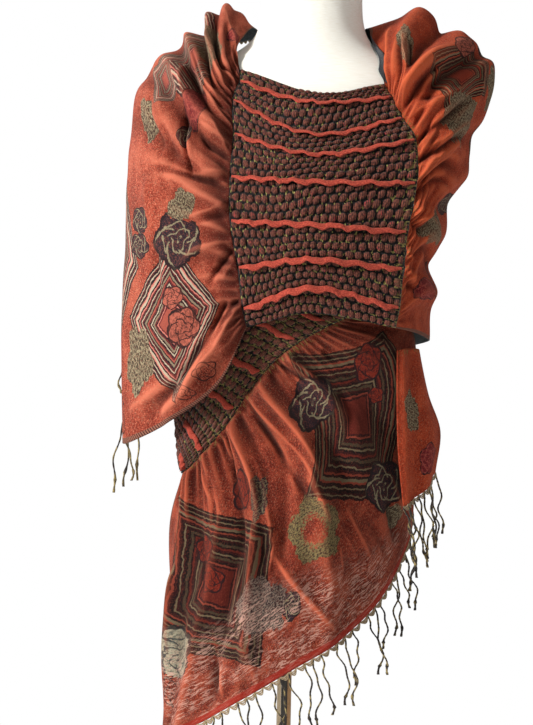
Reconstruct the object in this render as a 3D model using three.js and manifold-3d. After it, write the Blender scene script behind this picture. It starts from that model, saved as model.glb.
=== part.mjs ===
// A smocked ruffle shawl worn on a limbless dress form, as one three.js group.
// Units are millimetres, +Z is up, the wearer's front faces -Y, and the floor is Z = 0.
// The shawl is one long cloth with two smocked bands. It starts at a fringed end behind one shoulder,
// crosses the chest as the first band, goes over the other shoulder and down across the back, comes
// round the waist as the second band, and ends as a fan over the hips with a fringed hem.

import * as THREE from "three";
import Module from "manifold-3d";

const wasm = await Module();
wasm.setup();

// Driving dimensions
const CLOTH = 1.2; // thickness of a cloth wall
const SEAM = 0.6; // space between two stretches of cloth that meet, measured along the cloth
const SKIN_GAP = 1.1; // least space between the form and a point of the cloth's outer side, less the wall
const FORM_SQUARENESS = 2.2; // 2 is an ellipse, more is boxier
const FORM_SIDES = 26;
const FORM_RINGS = 20;
const FORM_BOTTOM = 800;
const FORM_TOP = 1500;
const BUBBLE = { columns: 28, height: 4.2 }; // half-bubbles across the first band, and their height
const BUBBLE_ROWS = [2, 5, 3, 4, 6, 5, 4, 4]; // rows of bubbles between one ruffle line and the next
const RUFFLE = { deep: 8.5, thick: 1.3, swing: 2.8, droop: 2.4, lift: 1.0 };
const STRAND = { thick: 1.9, drop: 60, kinks: 2 };
const STRIP = { tall: 3.2, thick: 2.0, gap: 0.6 };
const POST = { wide: 16, deep: 22, core: 6.4, gap: 0.3, foot: 22.3 };
const BASE = { radius: 175, thick: 22, hub: 34, hubTall: 48 };

// The dress form's level sections: half width, half depth, and the section's centre.
const FORM_SECTIONS = [
  { z: 800, a: 106, b: 88, cx: 1, cy: 0 },
  { z: 812, a: 118, b: 99, cx: 1, cy: 0 },
  { z: 836, a: 120, b: 101, cx: 1, cy: 0 },
  { z: 880, a: 110, b: 92, cx: 2, cy: 0 },
  { z: 945, a: 102, b: 83, cx: 3, cy: 0 },
  { z: 1000, a: 106, b: 87, cx: 4, cy: -1 },
  { z: 1050, a: 112, b: 94, cx: 5, cy: -4 },
  { z: 1100, a: 120, b: 106, cx: 6, cy: -8 },
  { z: 1150, a: 127, b: 120, cx: 7, cy: -11 },
  { z: 1205, a: 134, b: 115, cx: 8, cy: -7 },
  { z: 1250, a: 160, b: 107, cx: 10, cy: -1 },
  { z: 1275, a: 173, b: 103, cx: 11, cy: 1 },
  { z: 1300, a: 176, b: 99, cx: 11, cy: 2 },
  { z: 1325, a: 172, b: 93, cx: 11, cy: 2 },
  { z: 1345, a: 152, b: 86, cx: 12, cy: 2 },
  { z: 1362, a: 116, b: 78, cx: 13, cy: 2 },
  { z: 1378, a: 84, b: 69, cx: 14, cy: 1 },
  { z: 1395, a: 65, b: 63, cx: 15, cy: 0 },
  { z: 1415, a: 58, b: 60, cx: 15, cy: -1 },
  { z: 1440, a: 56, b: 58, cx: 15, cy: -3 },
  { z: 1500, a: 54, b: 56, cx: 15, cy: -6 },
];

// The first band: a row for each ruffle line down the chest, as [x, y, z] at its left, middle and right.
const BAND_FRONT = [
  { line: "selvedge", left: [-62, -72, 1347], middle: [21, -96, 1323], right: [92, -78, 1335] },
  { line: "ruffle 1", left: [-62, -79, 1335], middle: [19, -103, 1312], right: [101, -86, 1322] },
  { line: "ruffle 2", left: [-70, -90, 1315], middle: [15, -120, 1276], right: [112, -97, 1298] },
  { line: "ruffle 3", left: [-68, -112, 1276], middle: [16, -132, 1254], right: [126, -108, 1274] },
  { line: "ruffle 4", left: [-70, -128, 1229], middle: [16, -142, 1225], right: [127, -121, 1227] },
  { line: "ruffle 5", left: [-69, -137, 1182], middle: [17, -149, 1180], right: [118, -129, 1175] },
  { line: "ruffle 6", left: [-60, -142, 1133], middle: [17, -151, 1144], right: [114, -132, 1136] },
  { line: "ruffle 7", left: [-54, -141, 1090], middle: [18, -148, 1115], right: [111, -132, 1095] },
  { line: "hem", left: [-49, -138, 1070], middle: [19, -142, 1086], right: [107, -130, 1073] },
];

// The other stretches: a row for each section across the cloth, as [x, y, z] at seven stations from one
// selvedge to the other. The stations are selvedge, roll, inner, shoulder, upper, lower and hem.
const LEFT_SECTIONS = {
  near: [[-67, -48, 1376], [-82, -76, 1357], [-98, -98, 1321], [-106, -118, 1256], [-106, -128, 1182],
    [-93, -132, 1098], [-77, -126, 1011]],
  fore: [[-60, -22, 1395], [-86, -40, 1398], [-112, -62, 1358], [-143, -85, 1302], [-150, -95, 1205],
    [-146, -95, 1077], [-122, -88, 973]],
  side: [[-49, 8, 1410], [-82, 6, 1430], [-122, 0, 1394], [-177, -4, 1339], [-183, -8, 1223],
    [-188, -12, 1089], [-181, -18, 941]],
  fringed: [[-35, 66, 1404], [-75, 68, 1402], [-114, 66, 1376], [-168, 64, 1318], [-182, 64, 1200],
    [-190, 48, 1080], [-186, 14, 950]],
};
const RIGHT_SECTIONS = {
  near: [[88, -48, 1355], [114, -90, 1361], [148, -98, 1328], [156, -98, 1275], [147, -100, 1211],
    [138, -100, 1141], [130, -97, 1069]],
  fore: [[80, -22, 1388], [128, -42, 1402], [173, -52, 1369], [198, -46, 1332], [171, -52, 1235],
    [152, -52, 1144], [147, -52, 1064]],
  side: [[78, 8, 1412], [144, 4, 1429], [192, 2, 1401], [218, 5, 1346], [187, 4, 1250],
    [155, 4, 1151], [152, 2, 1061]],
  behind: [[52, 68, 1402], [90, 72, 1400], [134, 70, 1380], [168, 76, 1312], [150, 86, 1222],
    [134, 90, 1130], [126, 84, 1052]],
};
const BACK_SECTIONS = {
  nape: [[16, 78, 1396], [38, 88, 1390], [64, 97, 1362], [84, 110, 1292], [82, 116, 1205],
    [76, 112, 1115], [72, 104, 1030]],
  middle: [[-38, 94, 1352], [-36, 100, 1334], [-35, 108, 1300], [-34, 118, 1242], [-34, 120, 1165],
    [-34, 112, 1082], [-34, 102, 1000]],
  blade: [[-107, 98, 1268], [-109, 101, 1248], [-108, 100, 1217], [-103, 94, 1166], [-103, 89, 1108],
    [-102, 83, 1046], [-100, 77, 976]],
  waist: [[-141, 4, 1184], [-140, 3, 1165], [-137, 0, 1137], [-133, -2, 1098], [-129, -4, 1050],
    [-123, -6, 998], [-119, -8, 940]],
};
const BAND_SIDE_SECTIONS = {
  under: [[-110, -76, 1162], [-112, -75, 1138], [-115, -71, 1103], [-120, -62, 1060], [-124, -52, 1016],
    [-125, -42, 973], [-121, -28, 925]],
  fore: [[-28, -125, 1124], [-44, -121, 1098], [-62, -113, 1066], [-82, -100, 1028], [-98, -86, 988],
    [-111, -66, 948], [-119, -42, 915]],
};
// The fan over the hips: nine stations, from the selvedge at the right hip to the one behind the left hip.
const FAN_SECTIONS = {
  gather: [[57, -122, 1083], [31, -122, 1070], [4, -120, 1054], [-20, -115, 1034], [-44, -106, 1004],
    [-66, -94, 970], [-89, -79, 941], [-107, -60, 920], [-117, -42, 912]],
  upper: [[128, -56, 1078], [108, -94, 1022], [72, -114, 980], [38, -124, 955], [2, -126, 925],
    [-34, -119, 890], [-72, -99, 850], [-116, -62, 820], [-132, -12, 845]],
  lower: [[136, -40, 985], [126, -68, 925], [94, -102, 880], [50, -124, 846], [4, -130, 815],
    [-42, -121, 780], [-88, -92, 735], [-128, -38, 705], [-127, 36, 730]],
  hem: [[134, -34, 925], [129, -54, 842], [100, -92, 784], [52, -118, 740], [2, -127, 709],
    [-50, -115, 675], [-102, -76, 638], [-136, -14, 607], [-116, 56, 620]],
};
// The loose corner that folds forward at the right hip: three stations from its fold to its selvedge.
const CORNER_SECTIONS = [
  { level: "top", fold: [112, -94, 1050], middle: [127, -76, 1053], selvedge: [141, -46, 1050] },
  { level: "upper", fold: [112, -102, 1000], middle: [134, -84, 1003], selvedge: [152, -50, 1004] },
  { level: "lower", fold: [114, -106, 945], middle: [141, -88, 950], selvedge: [166, -52, 963] },
  { level: "hem", fold: [121, -104, 884], middle: [141, -88, 897], selvedge: [161, -58, 918] },
];

// Big folds: where a fold's crest starts across the cloth, how far it drifts along the stretch, its
// half width across the cloth, its height, and the part of the stretch that it runs over.
const LEFT_FOLDS = [
  { at: 0.07, drift: 0.01, width: 0.03, height: 3, from: 0.1, to: 1.3 },
  { at: 0.15, drift: 0.01, width: 0.026, height: 6, from: 0.08, to: 1.5 },
  { at: 0.195, drift: 0.01, width: 0.02, height: -5, from: 0.1, to: 1.3 },
  { at: 0.23, drift: 0.01, width: 0.022, height: 8, from: 0.1, to: 1.3 },
  { at: 0.275, drift: 0.015, width: 0.02, height: -11, from: 0.1, to: 1.1 },
  { at: 0.315, drift: 0.02, width: 0.02, height: 9, from: 0.1, to: 1.0 },
  { at: 0.355, drift: 0.02, width: 0.018, height: -9, from: 0.1, to: 0.85 },
  { at: 0.4, drift: 0.02, width: 0.024, height: 11, from: 0.06, to: 0.85 },
  { at: 0.45, drift: 0.03, width: 0.022, height: -8, from: 0.06, to: 0.9 },
  { at: 0.505, drift: 0.03, width: 0.026, height: 5, from: 0, to: 0.8 },
  { at: 0.55, drift: 0.03, width: 0.02, height: -6, from: 0, to: 0.8 },
  { at: 0.595, drift: 0.03, width: 0.026, height: 5, from: -0.1, to: 0.9 },
  { at: 0.7, drift: -0.04, width: 0.05, height: 4, from: 0, to: 1.1 },
  { at: 0.855, drift: 0.04, width: 0.024, height: -6, from: -0.05, to: 0.6 },
  { at: 0.93, drift: 0.03, width: 0.035, height: 5, from: -0.1, to: 0.8 },
];
const RIGHT_FOLDS = [
  { at: 0.1, drift: 0.1, width: 0.032, height: 7, from: 0.02, to: 1.0 },
  { at: 0.17, drift: 0.18, width: 0.036, height: -17, from: 0.06, to: 0.8 },
  { at: 0.19, drift: 0.42, width: 0.03, height: 12, from: 0.015, to: 0.42 },
  { at: 0.26, drift: 0.4, width: 0.026, height: -12, from: 0.03, to: 0.5 },
  { at: 0.38, drift: 0.14, width: 0.05, height: 6, from: 0.04, to: 1.0 },
  { at: 0.58, drift: 0.06, width: 0.022, height: -6, from: 0.04, to: 0.9 },
  { at: 0.65, drift: 0.05, width: 0.024, height: 6, from: 0.03, to: 1.0 },
  { at: 0.71, drift: 0.05, width: 0.02, height: -4, from: 0.03, to: 0.8 },
  { at: 0.765, drift: 0.04, width: 0.024, height: 5, from: 0.03, to: 1.0 },
  { at: 0.83, drift: 0.03, width: 0.022, height: -6, from: 0.03, to: 0.9 },
  { at: 0.89, drift: 0.02, width: 0.026, height: 7, from: 0.02, to: 1.0 },
];
const FAN_FOLDS = [
  { at: 0.12, drift: -0.02, width: 0.045, height: 5, from: 0, to: 1.2 },
  { at: 0.22, drift: -0.03, width: 0.03, height: -4, from: 0, to: 0.8 },
  { at: 0.33, drift: -0.12, width: 0.035, height: 9, from: -0.1, to: 0.62 },
  { at: 0.395, drift: -0.08, width: 0.024, height: -6, from: -0.1, to: 0.6 },
  { at: 0.465, drift: -0.08, width: 0.034, height: 12, from: -0.1, to: 1.1 },
  { at: 0.55, drift: -0.03, width: 0.026, height: -6, from: -0.1, to: 0.9 },
  { at: 0.62, drift: 0, width: 0.028, height: 10, from: -0.1, to: 1.1 },
  { at: 0.685, drift: 0.02, width: 0.02, height: -8, from: -0.1, to: 1.1 },
  { at: 0.75, drift: 0.03, width: 0.025, height: 9, from: -0.1, to: 1.5 },
  { at: 0.81, drift: 0.04, width: 0.02, height: -5, from: -0.1, to: 1.5 },
  { at: 0.865, drift: 0.04, width: 0.022, height: 8, from: -0.1, to: 0.9 },
];

// Small gathers that leave a smocked edge: how many, their height, and how soon they fade along the cloth.
const LEFT_GATHERS = { count: 13, height: 4.2, fade: 0.26, seed: 1.7 };
const RIGHT_GATHERS = { count: 12, height: 4.6, fade: 0.14, seed: 4.1 };
const WAIST_GATHERS = { count: 11, height: 4.0, fade: 0.1, seed: 0.6 };
const FAN_GATHERS = { count: 15, height: 4.0, fade: 0.22, seed: 2.9 };

// Where the second band's ruffles run, across the cloth, and the stretch of the band that they cover.
const SIDE_RUFFLES = [0.08, 0.22, 0.42, 0.59, 0.75, 0.92];
const SIDE_GRID = { across: 26, along: 14 }; // half-bubbles across and along the second band
const SIDE_RUFFLE_FROM = 8 / SIDE_GRID.along;

const COLOURS = {
  cloth: { color: 0xb3492e, roughness: 0.9, metalness: 0 },
  smocking: { color: 0x6b3a35, roughness: 0.9, metalness: 0 },
  ruffle: { color: 0xd0482c, roughness: 0.88, metalness: 0 },
  fringe: { color: 0x4a4230, roughness: 0.95, metalness: 0 },
  linen: { color: 0xece4d2, roughness: 0.95, metalness: 0 },
  wood: { color: 0xb98a55, roughness: 0.6, metalness: 0 },
  steel: { color: 0x4a4742, roughness: 0.4, metalness: 0.8 },
};

const shawl = new THREE.Group();

const material = (kind) => new THREE.MeshStandardMaterial({ ...COLOURS[kind], side: THREE.DoubleSide });

function add(name, geometry, kind) {
  const mesh = new THREE.Mesh(geometry, material(kind));
  mesh.name = name;
  shawl.add(mesh);
  return mesh;
}

const clamp = (x, low, high) => Math.min(Math.max(x, low), high);

function smoothStep(low, high, x) {
  const t = clamp((x - low) / (high - low), 0, 1);
  return t * t * (3 - 2 * t);
}

// The point at t, from 0 to 1, of a smooth curve through evenly spaced [x, y, z] points
function through(points, t) {
  const last = points.length - 1;
  const x = clamp(t, 0, 1) * last;
  const i = Math.min(Math.floor(x), last - 1);
  const f = x - i;
  const beyond = (a, b) => a.map((value, k) => 2 * value - b[k]);
  const before = i > 0 ? points[i - 1] : beyond(points[0], points[1]);
  const after = i + 2 <= last ? points[i + 2] : beyond(points[last], points[last - 1]);
  return points[i].map((start, k) => {
    const end = points[i + 1][k];
    const out = (end - before[k]) / 2;
    const into = (after[k] - start) / 2;
    const rise = end - start;
    return start + f * (out + f * (3 * rise - 2 * out - into + f * (out + into - 2 * rise)));
  });
}

// The form's half width, half depth and centre at a height, smooth between the table's rows.
function formSection(z) {
  const last = FORM_SECTIONS.length - 1;
  const height = clamp(z, FORM_BOTTOM, FORM_TOP);
  let i = 0;
  while (i < last - 1 && FORM_SECTIONS[i + 1].z < height) i += 1;
  const [low, high] = [FORM_SECTIONS[i], FORM_SECTIONS[i + 1]];
  const [below, above] = [FORM_SECTIONS[Math.max(i - 1, 0)], FORM_SECTIONS[Math.min(i + 2, last)]];
  const span = high.z - low.z;
  const f = (height - low.z) / span;
  const value = (key) => {
    const out = ((high[key] - below[key]) / (high.z - below.z)) * span;
    const into = ((above[key] - low[key]) / (above.z - low.z)) * span;
    const rise = high[key] - low[key];
    return low[key] + f * (out + f * (3 * rise - 2 * out - into + f * (out + into - 2 * rise)));
  };
  return { a: value("a"), b: value("b"), cx: value("cx"), cy: value("cy") };
}

// How far outside the form's skin a point is, as a share of the section's size. Inside is below 0.
function outside(p) {
  const { a, b, cx, cy } = formSection(p.z);
  const across = Math.abs((p.x - cx) / a) ** FORM_SQUARENESS;
  const deep = Math.abs((p.y - cy) / b) ** FORM_SQUARENESS;
  return (across + deep) ** (1 / FORM_SQUARENESS) - 1;
}

// Moves a point out along the form's skin normal until it is at least gap away from the skin.
function restOnForm(p, gap) {
  const step = 0.5;
  for (let pass = 0; pass < 4; pass += 1) {
    const here = outside(p);
    const slope = new THREE.Vector3(
      outside(p.clone().setX(p.x + step)) - here,
      outside(p.clone().setY(p.y + step)) - here,
      outside(p.clone().setZ(p.z + step)) - here,
    ).divideScalar(step);
    const away = here / slope.length();
    if (away >= gap) break;
    p.addScaledVector(slope.normalize(), gap - away);
  }
  return p;
}

// A closed solid from two grids of points, an outer and an inner, joined round their borders. Each grid
// is { point(u, v), across, along }, so the inner one may be coarser. A grid with peaks has every other
// point standing up, and its quads are split so that each peak is a pyramid of its own.
function wallGeometry(outer, inner) {
  const positions = [];
  const triangles = [];
  const grids = [outer, inner].map(({ point, across, along, peaks = false }) => {
    const first = positions.length;
    for (let j = 0; j <= along; j += 1)
      for (let i = 0; i <= across; i += 1) positions.push(point(i / across, j / along));
    return { at: (i, j) => first + j * (across + 1) + i, across, along, peaks };
  });
  grids.forEach(({ at, across, along, peaks }, side) => {
    for (let j = 0; j < along; j += 1)
      for (let i = 0; i < across; i += 1) {
        const quad = [at(i, j), at(i + 1, j), at(i + 1, j + 1), at(i, j + 1)];
        if (peaks && (i + j) % 2 === 0) quad.push(quad.shift());
        if (side === 1) quad.reverse();
        triangles.push([quad[0], quad[1], quad[2]], [quad[0], quad[2], quad[3]]);
      }
  });
  const [loopOut, loopIn] = grids.map(({ at, across, along }) => {
    const loop = [];
    for (let i = 0; i < across; i += 1) loop.push([at(i, 0), i / across]);
    for (let j = 0; j < along; j += 1) loop.push([at(across, j), 1 + j / along]);
    for (let i = across; i > 0; i -= 1) loop.push([at(i, along), 3 - i / across]);
    for (let j = along; j > 0; j -= 1) loop.push([at(0, j), 4 - j / along]);
    return [...loop, [loop[0][0], 4]];
  });
  let [a, b] = [0, 0];
  while (a < loopOut.length - 1 || b < loopIn.length - 1) {
    const nextOut = a < loopOut.length - 1 ? loopOut[a + 1][1] : Infinity;
    const nextIn = b < loopIn.length - 1 ? loopIn[b + 1][1] : Infinity;
    if (nextOut <= nextIn) {
      triangles.push([loopOut[a + 1][0], loopOut[a][0], loopIn[b][0]]);
      a += 1;
    } else {
      triangles.push([loopIn[b][0], loopIn[b + 1][0], loopOut[a][0]]);
      b += 1;
    }
  }
  return solidGeometry(positions, triangles);
}

// A geometry from points and triangles, turned right side out.
function solidGeometry(positions, triangles) {
  const volume = triangles.reduce((sum, [i, j, k]) =>
    sum + positions[i].dot(new THREE.Vector3().crossVectors(positions[j], positions[k])), 0);
  const faces = volume < 0 ? triangles.map(([i, j, k]) => [i, k, j]) : triangles;
  const geometry = new THREE.BufferGeometry();
  const numbers = positions.flatMap((p) => p.toArray());
  geometry.setAttribute("position", new THREE.Float32BufferAttribute(numbers, 3));
  geometry.setIndex(faces.flat());
  geometry.computeVertexNormals();
  return geometry;
}

// A surface's outward unit normal by differences. outward is 1 or -1, to suit the way the grid runs.
function normalOf(surface, u, v, outward) {
  const h = 0.004;
  const du = surface(Math.min(u + h, 1), v).sub(surface(Math.max(u - h, 0), v));
  const dv = surface(u, Math.min(v + h, 1)).sub(surface(u, Math.max(v - h, 0)));
  return new THREE.Vector3().crossVectors(du, dv).normalize().multiplyScalar(outward);
}

function foldHeight(folds, s, t) {
  return folds.reduce((sum, fold) => {
    const x = (t - fold.at - fold.drift * s) / fold.width;
    const begun = smoothStep(fold.from, fold.from + 0.12, s) * smoothStep(0, 0.03, s);
    return sum + fold.height * Math.exp(-x * x) * begun * (1 - smoothStep(fold.to - 0.3, fold.to, s));
  }, 0);
}

function gatherHeight({ count, height, fade, seed }, s, t) {
  const uneven = 0.32 * Math.sin(5.1 * t + seed) + 0.2 * Math.sin(13.7 * t + 2 * seed);
  const wave = Math.sin(2 * Math.PI * (count * t + uneven));
  const size = 0.75 + 0.25 * Math.sin(9.3 * t + seed);
  const ends = smoothStep(0, 0.03, t) * (1 - smoothStep(0.97, 1, t));
  return height * size * wave * ends * smoothStep(0, fade / 4, s) * Math.exp(-s / fade);
}

// The surface of a draped cloth: s runs along the cloth and t across it. Each row is a function of t, and
// relief(s, t) is what stands out of the smooth drape. It rests on the form wherever it would go into it.
function clothSurface({ rows, relief, outward, gap = () => SKIN_GAP }) {
  const base = (s, t) => new THREE.Vector3(...through(rows.map((row) => row(t)), s));
  const outer = (s, t) => {
    const p = base(s, t).addScaledVector(normalOf(base, s, t, outward), relief(s, t));
    return restOnForm(p, gap(s) + CLOTH);
  };
  return { base, outer, outward };
}

// One stretch of a cloth surface, between two shares of its length, as a wall. It stops short of its
// ends by the spaces start and end, square to the seam. A seam's normal, where one is given, sets the
// way that the wall is cut there. spread(v) moves more of the mesh's lines to where the folds are.
function drape(name, { surface, from = 0, to = 1, across, along, start = 0, end = 0, kind = "cloth",
  peaks = false, inner = { across, along }, startNormal, endNormal, spread = (v) => v }) {
  const { base, outer, outward, plain = outer } = surface;
  const step = 0.01;
  const shortBy = (space, s, t, way) => {
    const run = base(s + way * step, t).sub(base(s, t));
    const seam = base(s, Math.min(t + step, 1)).sub(base(s, Math.max(t - step, 0))).normalize();
    return (space * step) / run.addScaledVector(seam, -run.dot(seam)).length();
  };
  const share = (u, t) => {
    const first = from + (start && shortBy(start, from, t, 1));
    const last = to - (end && shortBy(end, to, t, -1));
    return first + (last - first) * u;
  };
  const outerAt = (u, v) => outer(share(u, spread(v)), spread(v));
  const innerAt = (u, v) => {
    const [s, t] = [share(u, spread(v)), spread(v)];
    const seamNormal = (u === 0 && startNormal) || (u === 1 && endNormal);
    return plain(s, t).addScaledVector(seamNormal ? seamNormal(t) : normalOf(plain, s, t, outward), -CLOTH);
  };
  add(name, wallGeometry({ point: outerAt, across: along, along: across, peaks },
    { point: innerAt, across: inner.along, along: inner.across }), kind);
}

// The dress form: rings of level sections, closed flat at both ends
function addForm() {
  const points = [];
  const triangles = [];
  const ring = (z) => {
    const { a, b, cx, cy } = formSection(z);
    for (let i = 0; i < FORM_SIDES; i += 1) {
      const angle = (2 * Math.PI * i) / FORM_SIDES;
      const [c, s] = [Math.cos(angle), Math.sin(angle)];
      const size = Math.abs(c) ** FORM_SQUARENESS + Math.abs(s) ** FORM_SQUARENESS;
      const scale = size ** (-1 / FORM_SQUARENESS);
      points.push(new THREE.Vector3(cx + a * c * scale, cy + b * s * scale, z));
    }
  };
  const heights = FORM_SECTIONS.map((section) => section.z);
  for (let k = heights.length; k <= FORM_RINGS; k += 1) {
    const gaps = heights.slice(1).map((z, i) => z - heights[i]);
    const widest = gaps.indexOf(Math.max(...gaps));
    heights.splice(widest + 1, 0, (heights[widest] + heights[widest + 1]) / 2);
  }
  heights.forEach(ring);
  const top = heights.length - 1;
  const at = (k, i) => k * FORM_SIDES + (i % FORM_SIDES);
  for (let k = 0; k < top; k += 1)
    for (let i = 0; i < FORM_SIDES; i += 1)
      triangles.push([at(k, i), at(k, i + 1), at(k + 1, i + 1)],
        [at(k, i), at(k + 1, i + 1), at(k + 1, i)]);
  for (const [k, turned] of [[0, true], [top, false]]) {
    const section = formSection(heights[k]);
    const centre = points.push(new THREE.Vector3(section.cx, section.cy, heights[k])) - 1;
    for (let i = 0; i < FORM_SIDES; i += 1)
      triangles.push(turned ? [centre, at(k, i + 1), at(k, i)] : [centre, at(k, i), at(k, i + 1)]);
  }
  add("form_torso", solidGeometry(points, triangles), "linen");
  const { cx, cy } = formSection(FORM_TOP);
  const cap = new THREE.CylinderGeometry(50, 46, 12, 28).rotateX(-Math.PI / 2);
  add("form_neck_cap", cap, "wood").position.set(cx, cy, FORM_TOP + POST.gap + 6);
}

// The stand: a round base with a hub, and a post of two wooden cheeks with a dark bar between them
function addStand() {
  const { radius, thick, hub, hubTall } = BASE;
  const profile = [[0, 0], [radius, 0], [radius, thick - 6], [radius - 8, thick], [hub, thick],
    [hub - 6, hubTall], [hub - 12, hubTall], [hub - 12, thick], [0, thick]];
  const outline = profile.map(([r, z]) => new THREE.Vector2(r, z));
  add("stand_base", new THREE.LatheGeometry(outline, 32).rotateX(Math.PI / 2), "wood");
  const tall = FORM_BOTTOM - POST.gap - POST.foot;
  const cheek = (POST.wide - POST.core) / 2 - POST.gap;
  const centre = POST.foot + tall / 2;
  for (const [name, side] of [["stand_cheek_left", -1], ["stand_cheek_right", 1]]) {
    const section = new THREE.Shape();
    section.moveTo(0, -POST.deep / 2);
    section.lineTo(cheek * 0.6, -POST.deep / 2);
    section.absellipse(cheek * 0.6, 0, cheek * 0.4, POST.deep / 2, -Math.PI / 2, Math.PI / 2, false, 0);
    section.lineTo(0, POST.deep / 2);
    const extrusion = { depth: tall, bevelEnabled: false, curveSegments: 8 };
    const geometry = new THREE.ExtrudeGeometry(section, extrusion);
    if (side < 0) geometry.rotateZ(Math.PI);
    add(name, geometry, "wood").position.set(side * (POST.core / 2 + POST.gap), 0, POST.foot);
  }
  const bar = new THREE.BoxGeometry(POST.core, POST.deep - 4, tall);
  add("stand_bar", bar, "steel").position.set(0, 0, centre);
}

// The first smocked band: bubbles in a brick layout between the ruffle lines
const frontRows = BAND_FRONT.map((row) => [row.left, row.middle, row.right]);
const frontSmooth = (u, v) => new THREE.Vector3(...through(frontRows.map((row) => through(row, u)), v));
const frontBase = (u, v) => restOnForm(frontSmooth(u, v), SKIN_GAP + CLOTH);
const bubbleRowCount = BUBBLE_ROWS.reduce((sum, n) => sum + n, 0);

// Where a row of the fine grid lies down the band, from 0 to 1, and whether it is a ruffle line.
function frontLevel(row) {
  let left = row;
  for (let k = 0; k < BUBBLE_ROWS.length; k += 1) {
    if (left <= BUBBLE_ROWS[k]) return { v: (k + left / BUBBLE_ROWS[k]) / BUBBLE_ROWS.length,
      line: left === 0 || left === BUBBLE_ROWS[k] };
    left -= BUBBLE_ROWS[k];
  }
  return { v: 1, line: true };
}

function addFrontBand() {
  const { columns, height } = BUBBLE;
  const outer = (u, v) => {
    const [column, row] = [Math.round(u * columns), Math.round(v * bubbleRowCount)];
    const level = frontLevel(row);
    const edge = column === 0 || column === columns || level.line;
    const up = !edge && (column + row) % 2 === 0 ? height : 0;
    return frontBase(u, level.v).addScaledVector(normalOf(frontBase, u, level.v, -1), up);
  };
  const inner = (u, v) => {
    const level = frontLevel(Math.round(v * bubbleRowCount));
    return frontBase(u, level.v).addScaledVector(normalOf(frontBase, u, level.v, -1), -CLOTH);
  };
  add("band_front", wallGeometry({ point: outer, across: columns, along: bubbleRowCount, peaks: true },
    { point: inner, across: 6, along: bubbleRowCount }), "smocking");
}

// A ruffle: a thin wavy flange that stands out of a band along the line from start to end
function addRuffle(name, surface, outward, { line, start, end, steps, waves, seed, scale = 1 }) {
  const ring = (k) => {
    const f = start + ((end - start) * k) / steps;
    const [u, v] = line(f);
    const root = surface(u, v);
    const out = normalOf(surface, u, v, outward);
    const down = surface(u, Math.min(v + 0.01, 1)).sub(surface(u, Math.max(v - 0.01, 0))).normalize();
    const turn = 2 * Math.PI * waves * (k / steps) + seed + Math.sin(3 * f + seed);
    const swing = RUFFLE.swing * scale * Math.sin(turn);
    const ends = smoothStep(0, 0.08, k / steps) * (1 - smoothStep(0.92, 1, k / steps));
    const deep = RUFFLE.deep * scale * (0.45 + 0.55 * ends) * (0.85 + 0.15 * Math.sin(11 * f + seed));
    const at = (lift, drop) => root.clone().addScaledVector(out, lift).addScaledVector(down, drop);
    const tip = RUFFLE.droop * scale + swing * ends;
    const half = RUFFLE.thick / 2;
    return [at(RUFFLE.lift, -half), at(RUFFLE.lift, half), at(deep, tip + half), at(deep, tip - half)];
  };
  const points = [];
  const triangles = [];
  for (let k = 0; k <= steps; k += 1) points.push(...ring(k));
  // Both broad sides are split from root to tip the same way, so the flange is as thick in its twists
  for (let k = 0; k < steps * 4; k += 4) {
    const [upper, lower, lowerTip, upperTip] = [k, k + 1, k + 2, k + 3];
    triangles.push([upper, lower, lower + 4], [upper, lower + 4, upper + 4]);
    triangles.push([lower, lowerTip, lowerTip + 4], [lower, lowerTip + 4, lower + 4]);
    triangles.push([lowerTip, upperTip, upperTip + 4], [lowerTip, upperTip + 4, lowerTip + 4]);
    triangles.push([upperTip, upper, upperTip + 4], [upper, upper + 4, upperTip + 4]);
  }
  const far = steps * 4;
  triangles.push([0, 2, 1], [0, 3, 2], [far, far + 1, far + 2], [far, far + 2, far + 3]);
  add(name, solidGeometry(points, triangles), "ruffle");
}

// A fringe: a narrow scalloped strip under an edge, with strands fused into it. edge(f) gives the
// place, the way down and the way out at a share f of the edge. The strip has a corner at each point
// of the cloth's edge from first to last, and a strand at each corner but those that skip leaves out.
function addFringe(name, edge, { points: edgePoints, first = 1, last = edgePoints - 1, skip = () => false,
  drop = STRAND.drop, lean, splay = 0.25, seed }) {
  const points = [];
  const triangles = [];
  const places = [];
  for (let k = first; k <= last; k += 1) {
    const place = edge(k / edgePoints);
    const low = STRIP.gap + STRIP.tall * (k % 2 === 0 ? 0.6 : 1);
    const at = (fall, lift) =>
      place.p.clone().addScaledVector(place.down, fall).addScaledVector(place.out, lift);
    points.push(at(STRIP.gap, 0), at(low, 0), at(low, STRIP.thick), at(STRIP.gap, STRIP.thick));
    places.push({ ...place, n: k });
  }
  const far = (places.length - 1) * 4;
  for (let k = 0; k < far; k += 4)
    for (let i = 0; i < 4; i += 1) {
      const [a, b] = [k + i, k + ((i + 1) % 4)];
      triangles.push([a, b, b + 4], [a, b + 4, a + 4]);
    }
  triangles.push([0, 2, 1], [0, 3, 2], [far, far + 1, far + 2], [far, far + 2, far + 3]);
  let solid = solidOf(solidGeometry(points, triangles));
  for (const { p, down, out, n } of places.filter((place) => !skip(place.n))) {
    const root = p.clone().addScaledVector(down, STRIP.gap + STRIP.tall * 0.4);
    root.addScaledVector(out, STRIP.thick / 2);
    const length = drop * (0.8 + 0.35 * Math.abs(Math.sin(2.3 * n + seed)));
    solid = solid.add(solidOf(strand(root, { n, length, down, out, lean, splay, seed })));
  }
  const { vertProperties, triVerts } = solid.getMesh();
  const geometry = new THREE.BufferGeometry();
  geometry.setAttribute("position", new THREE.BufferAttribute(Float32Array.from(vertProperties), 3));
  geometry.setIndex(Array.from(triVerts));
  geometry.computeVertexNormals();
  add(name, geometry, "fringe");
}

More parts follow.
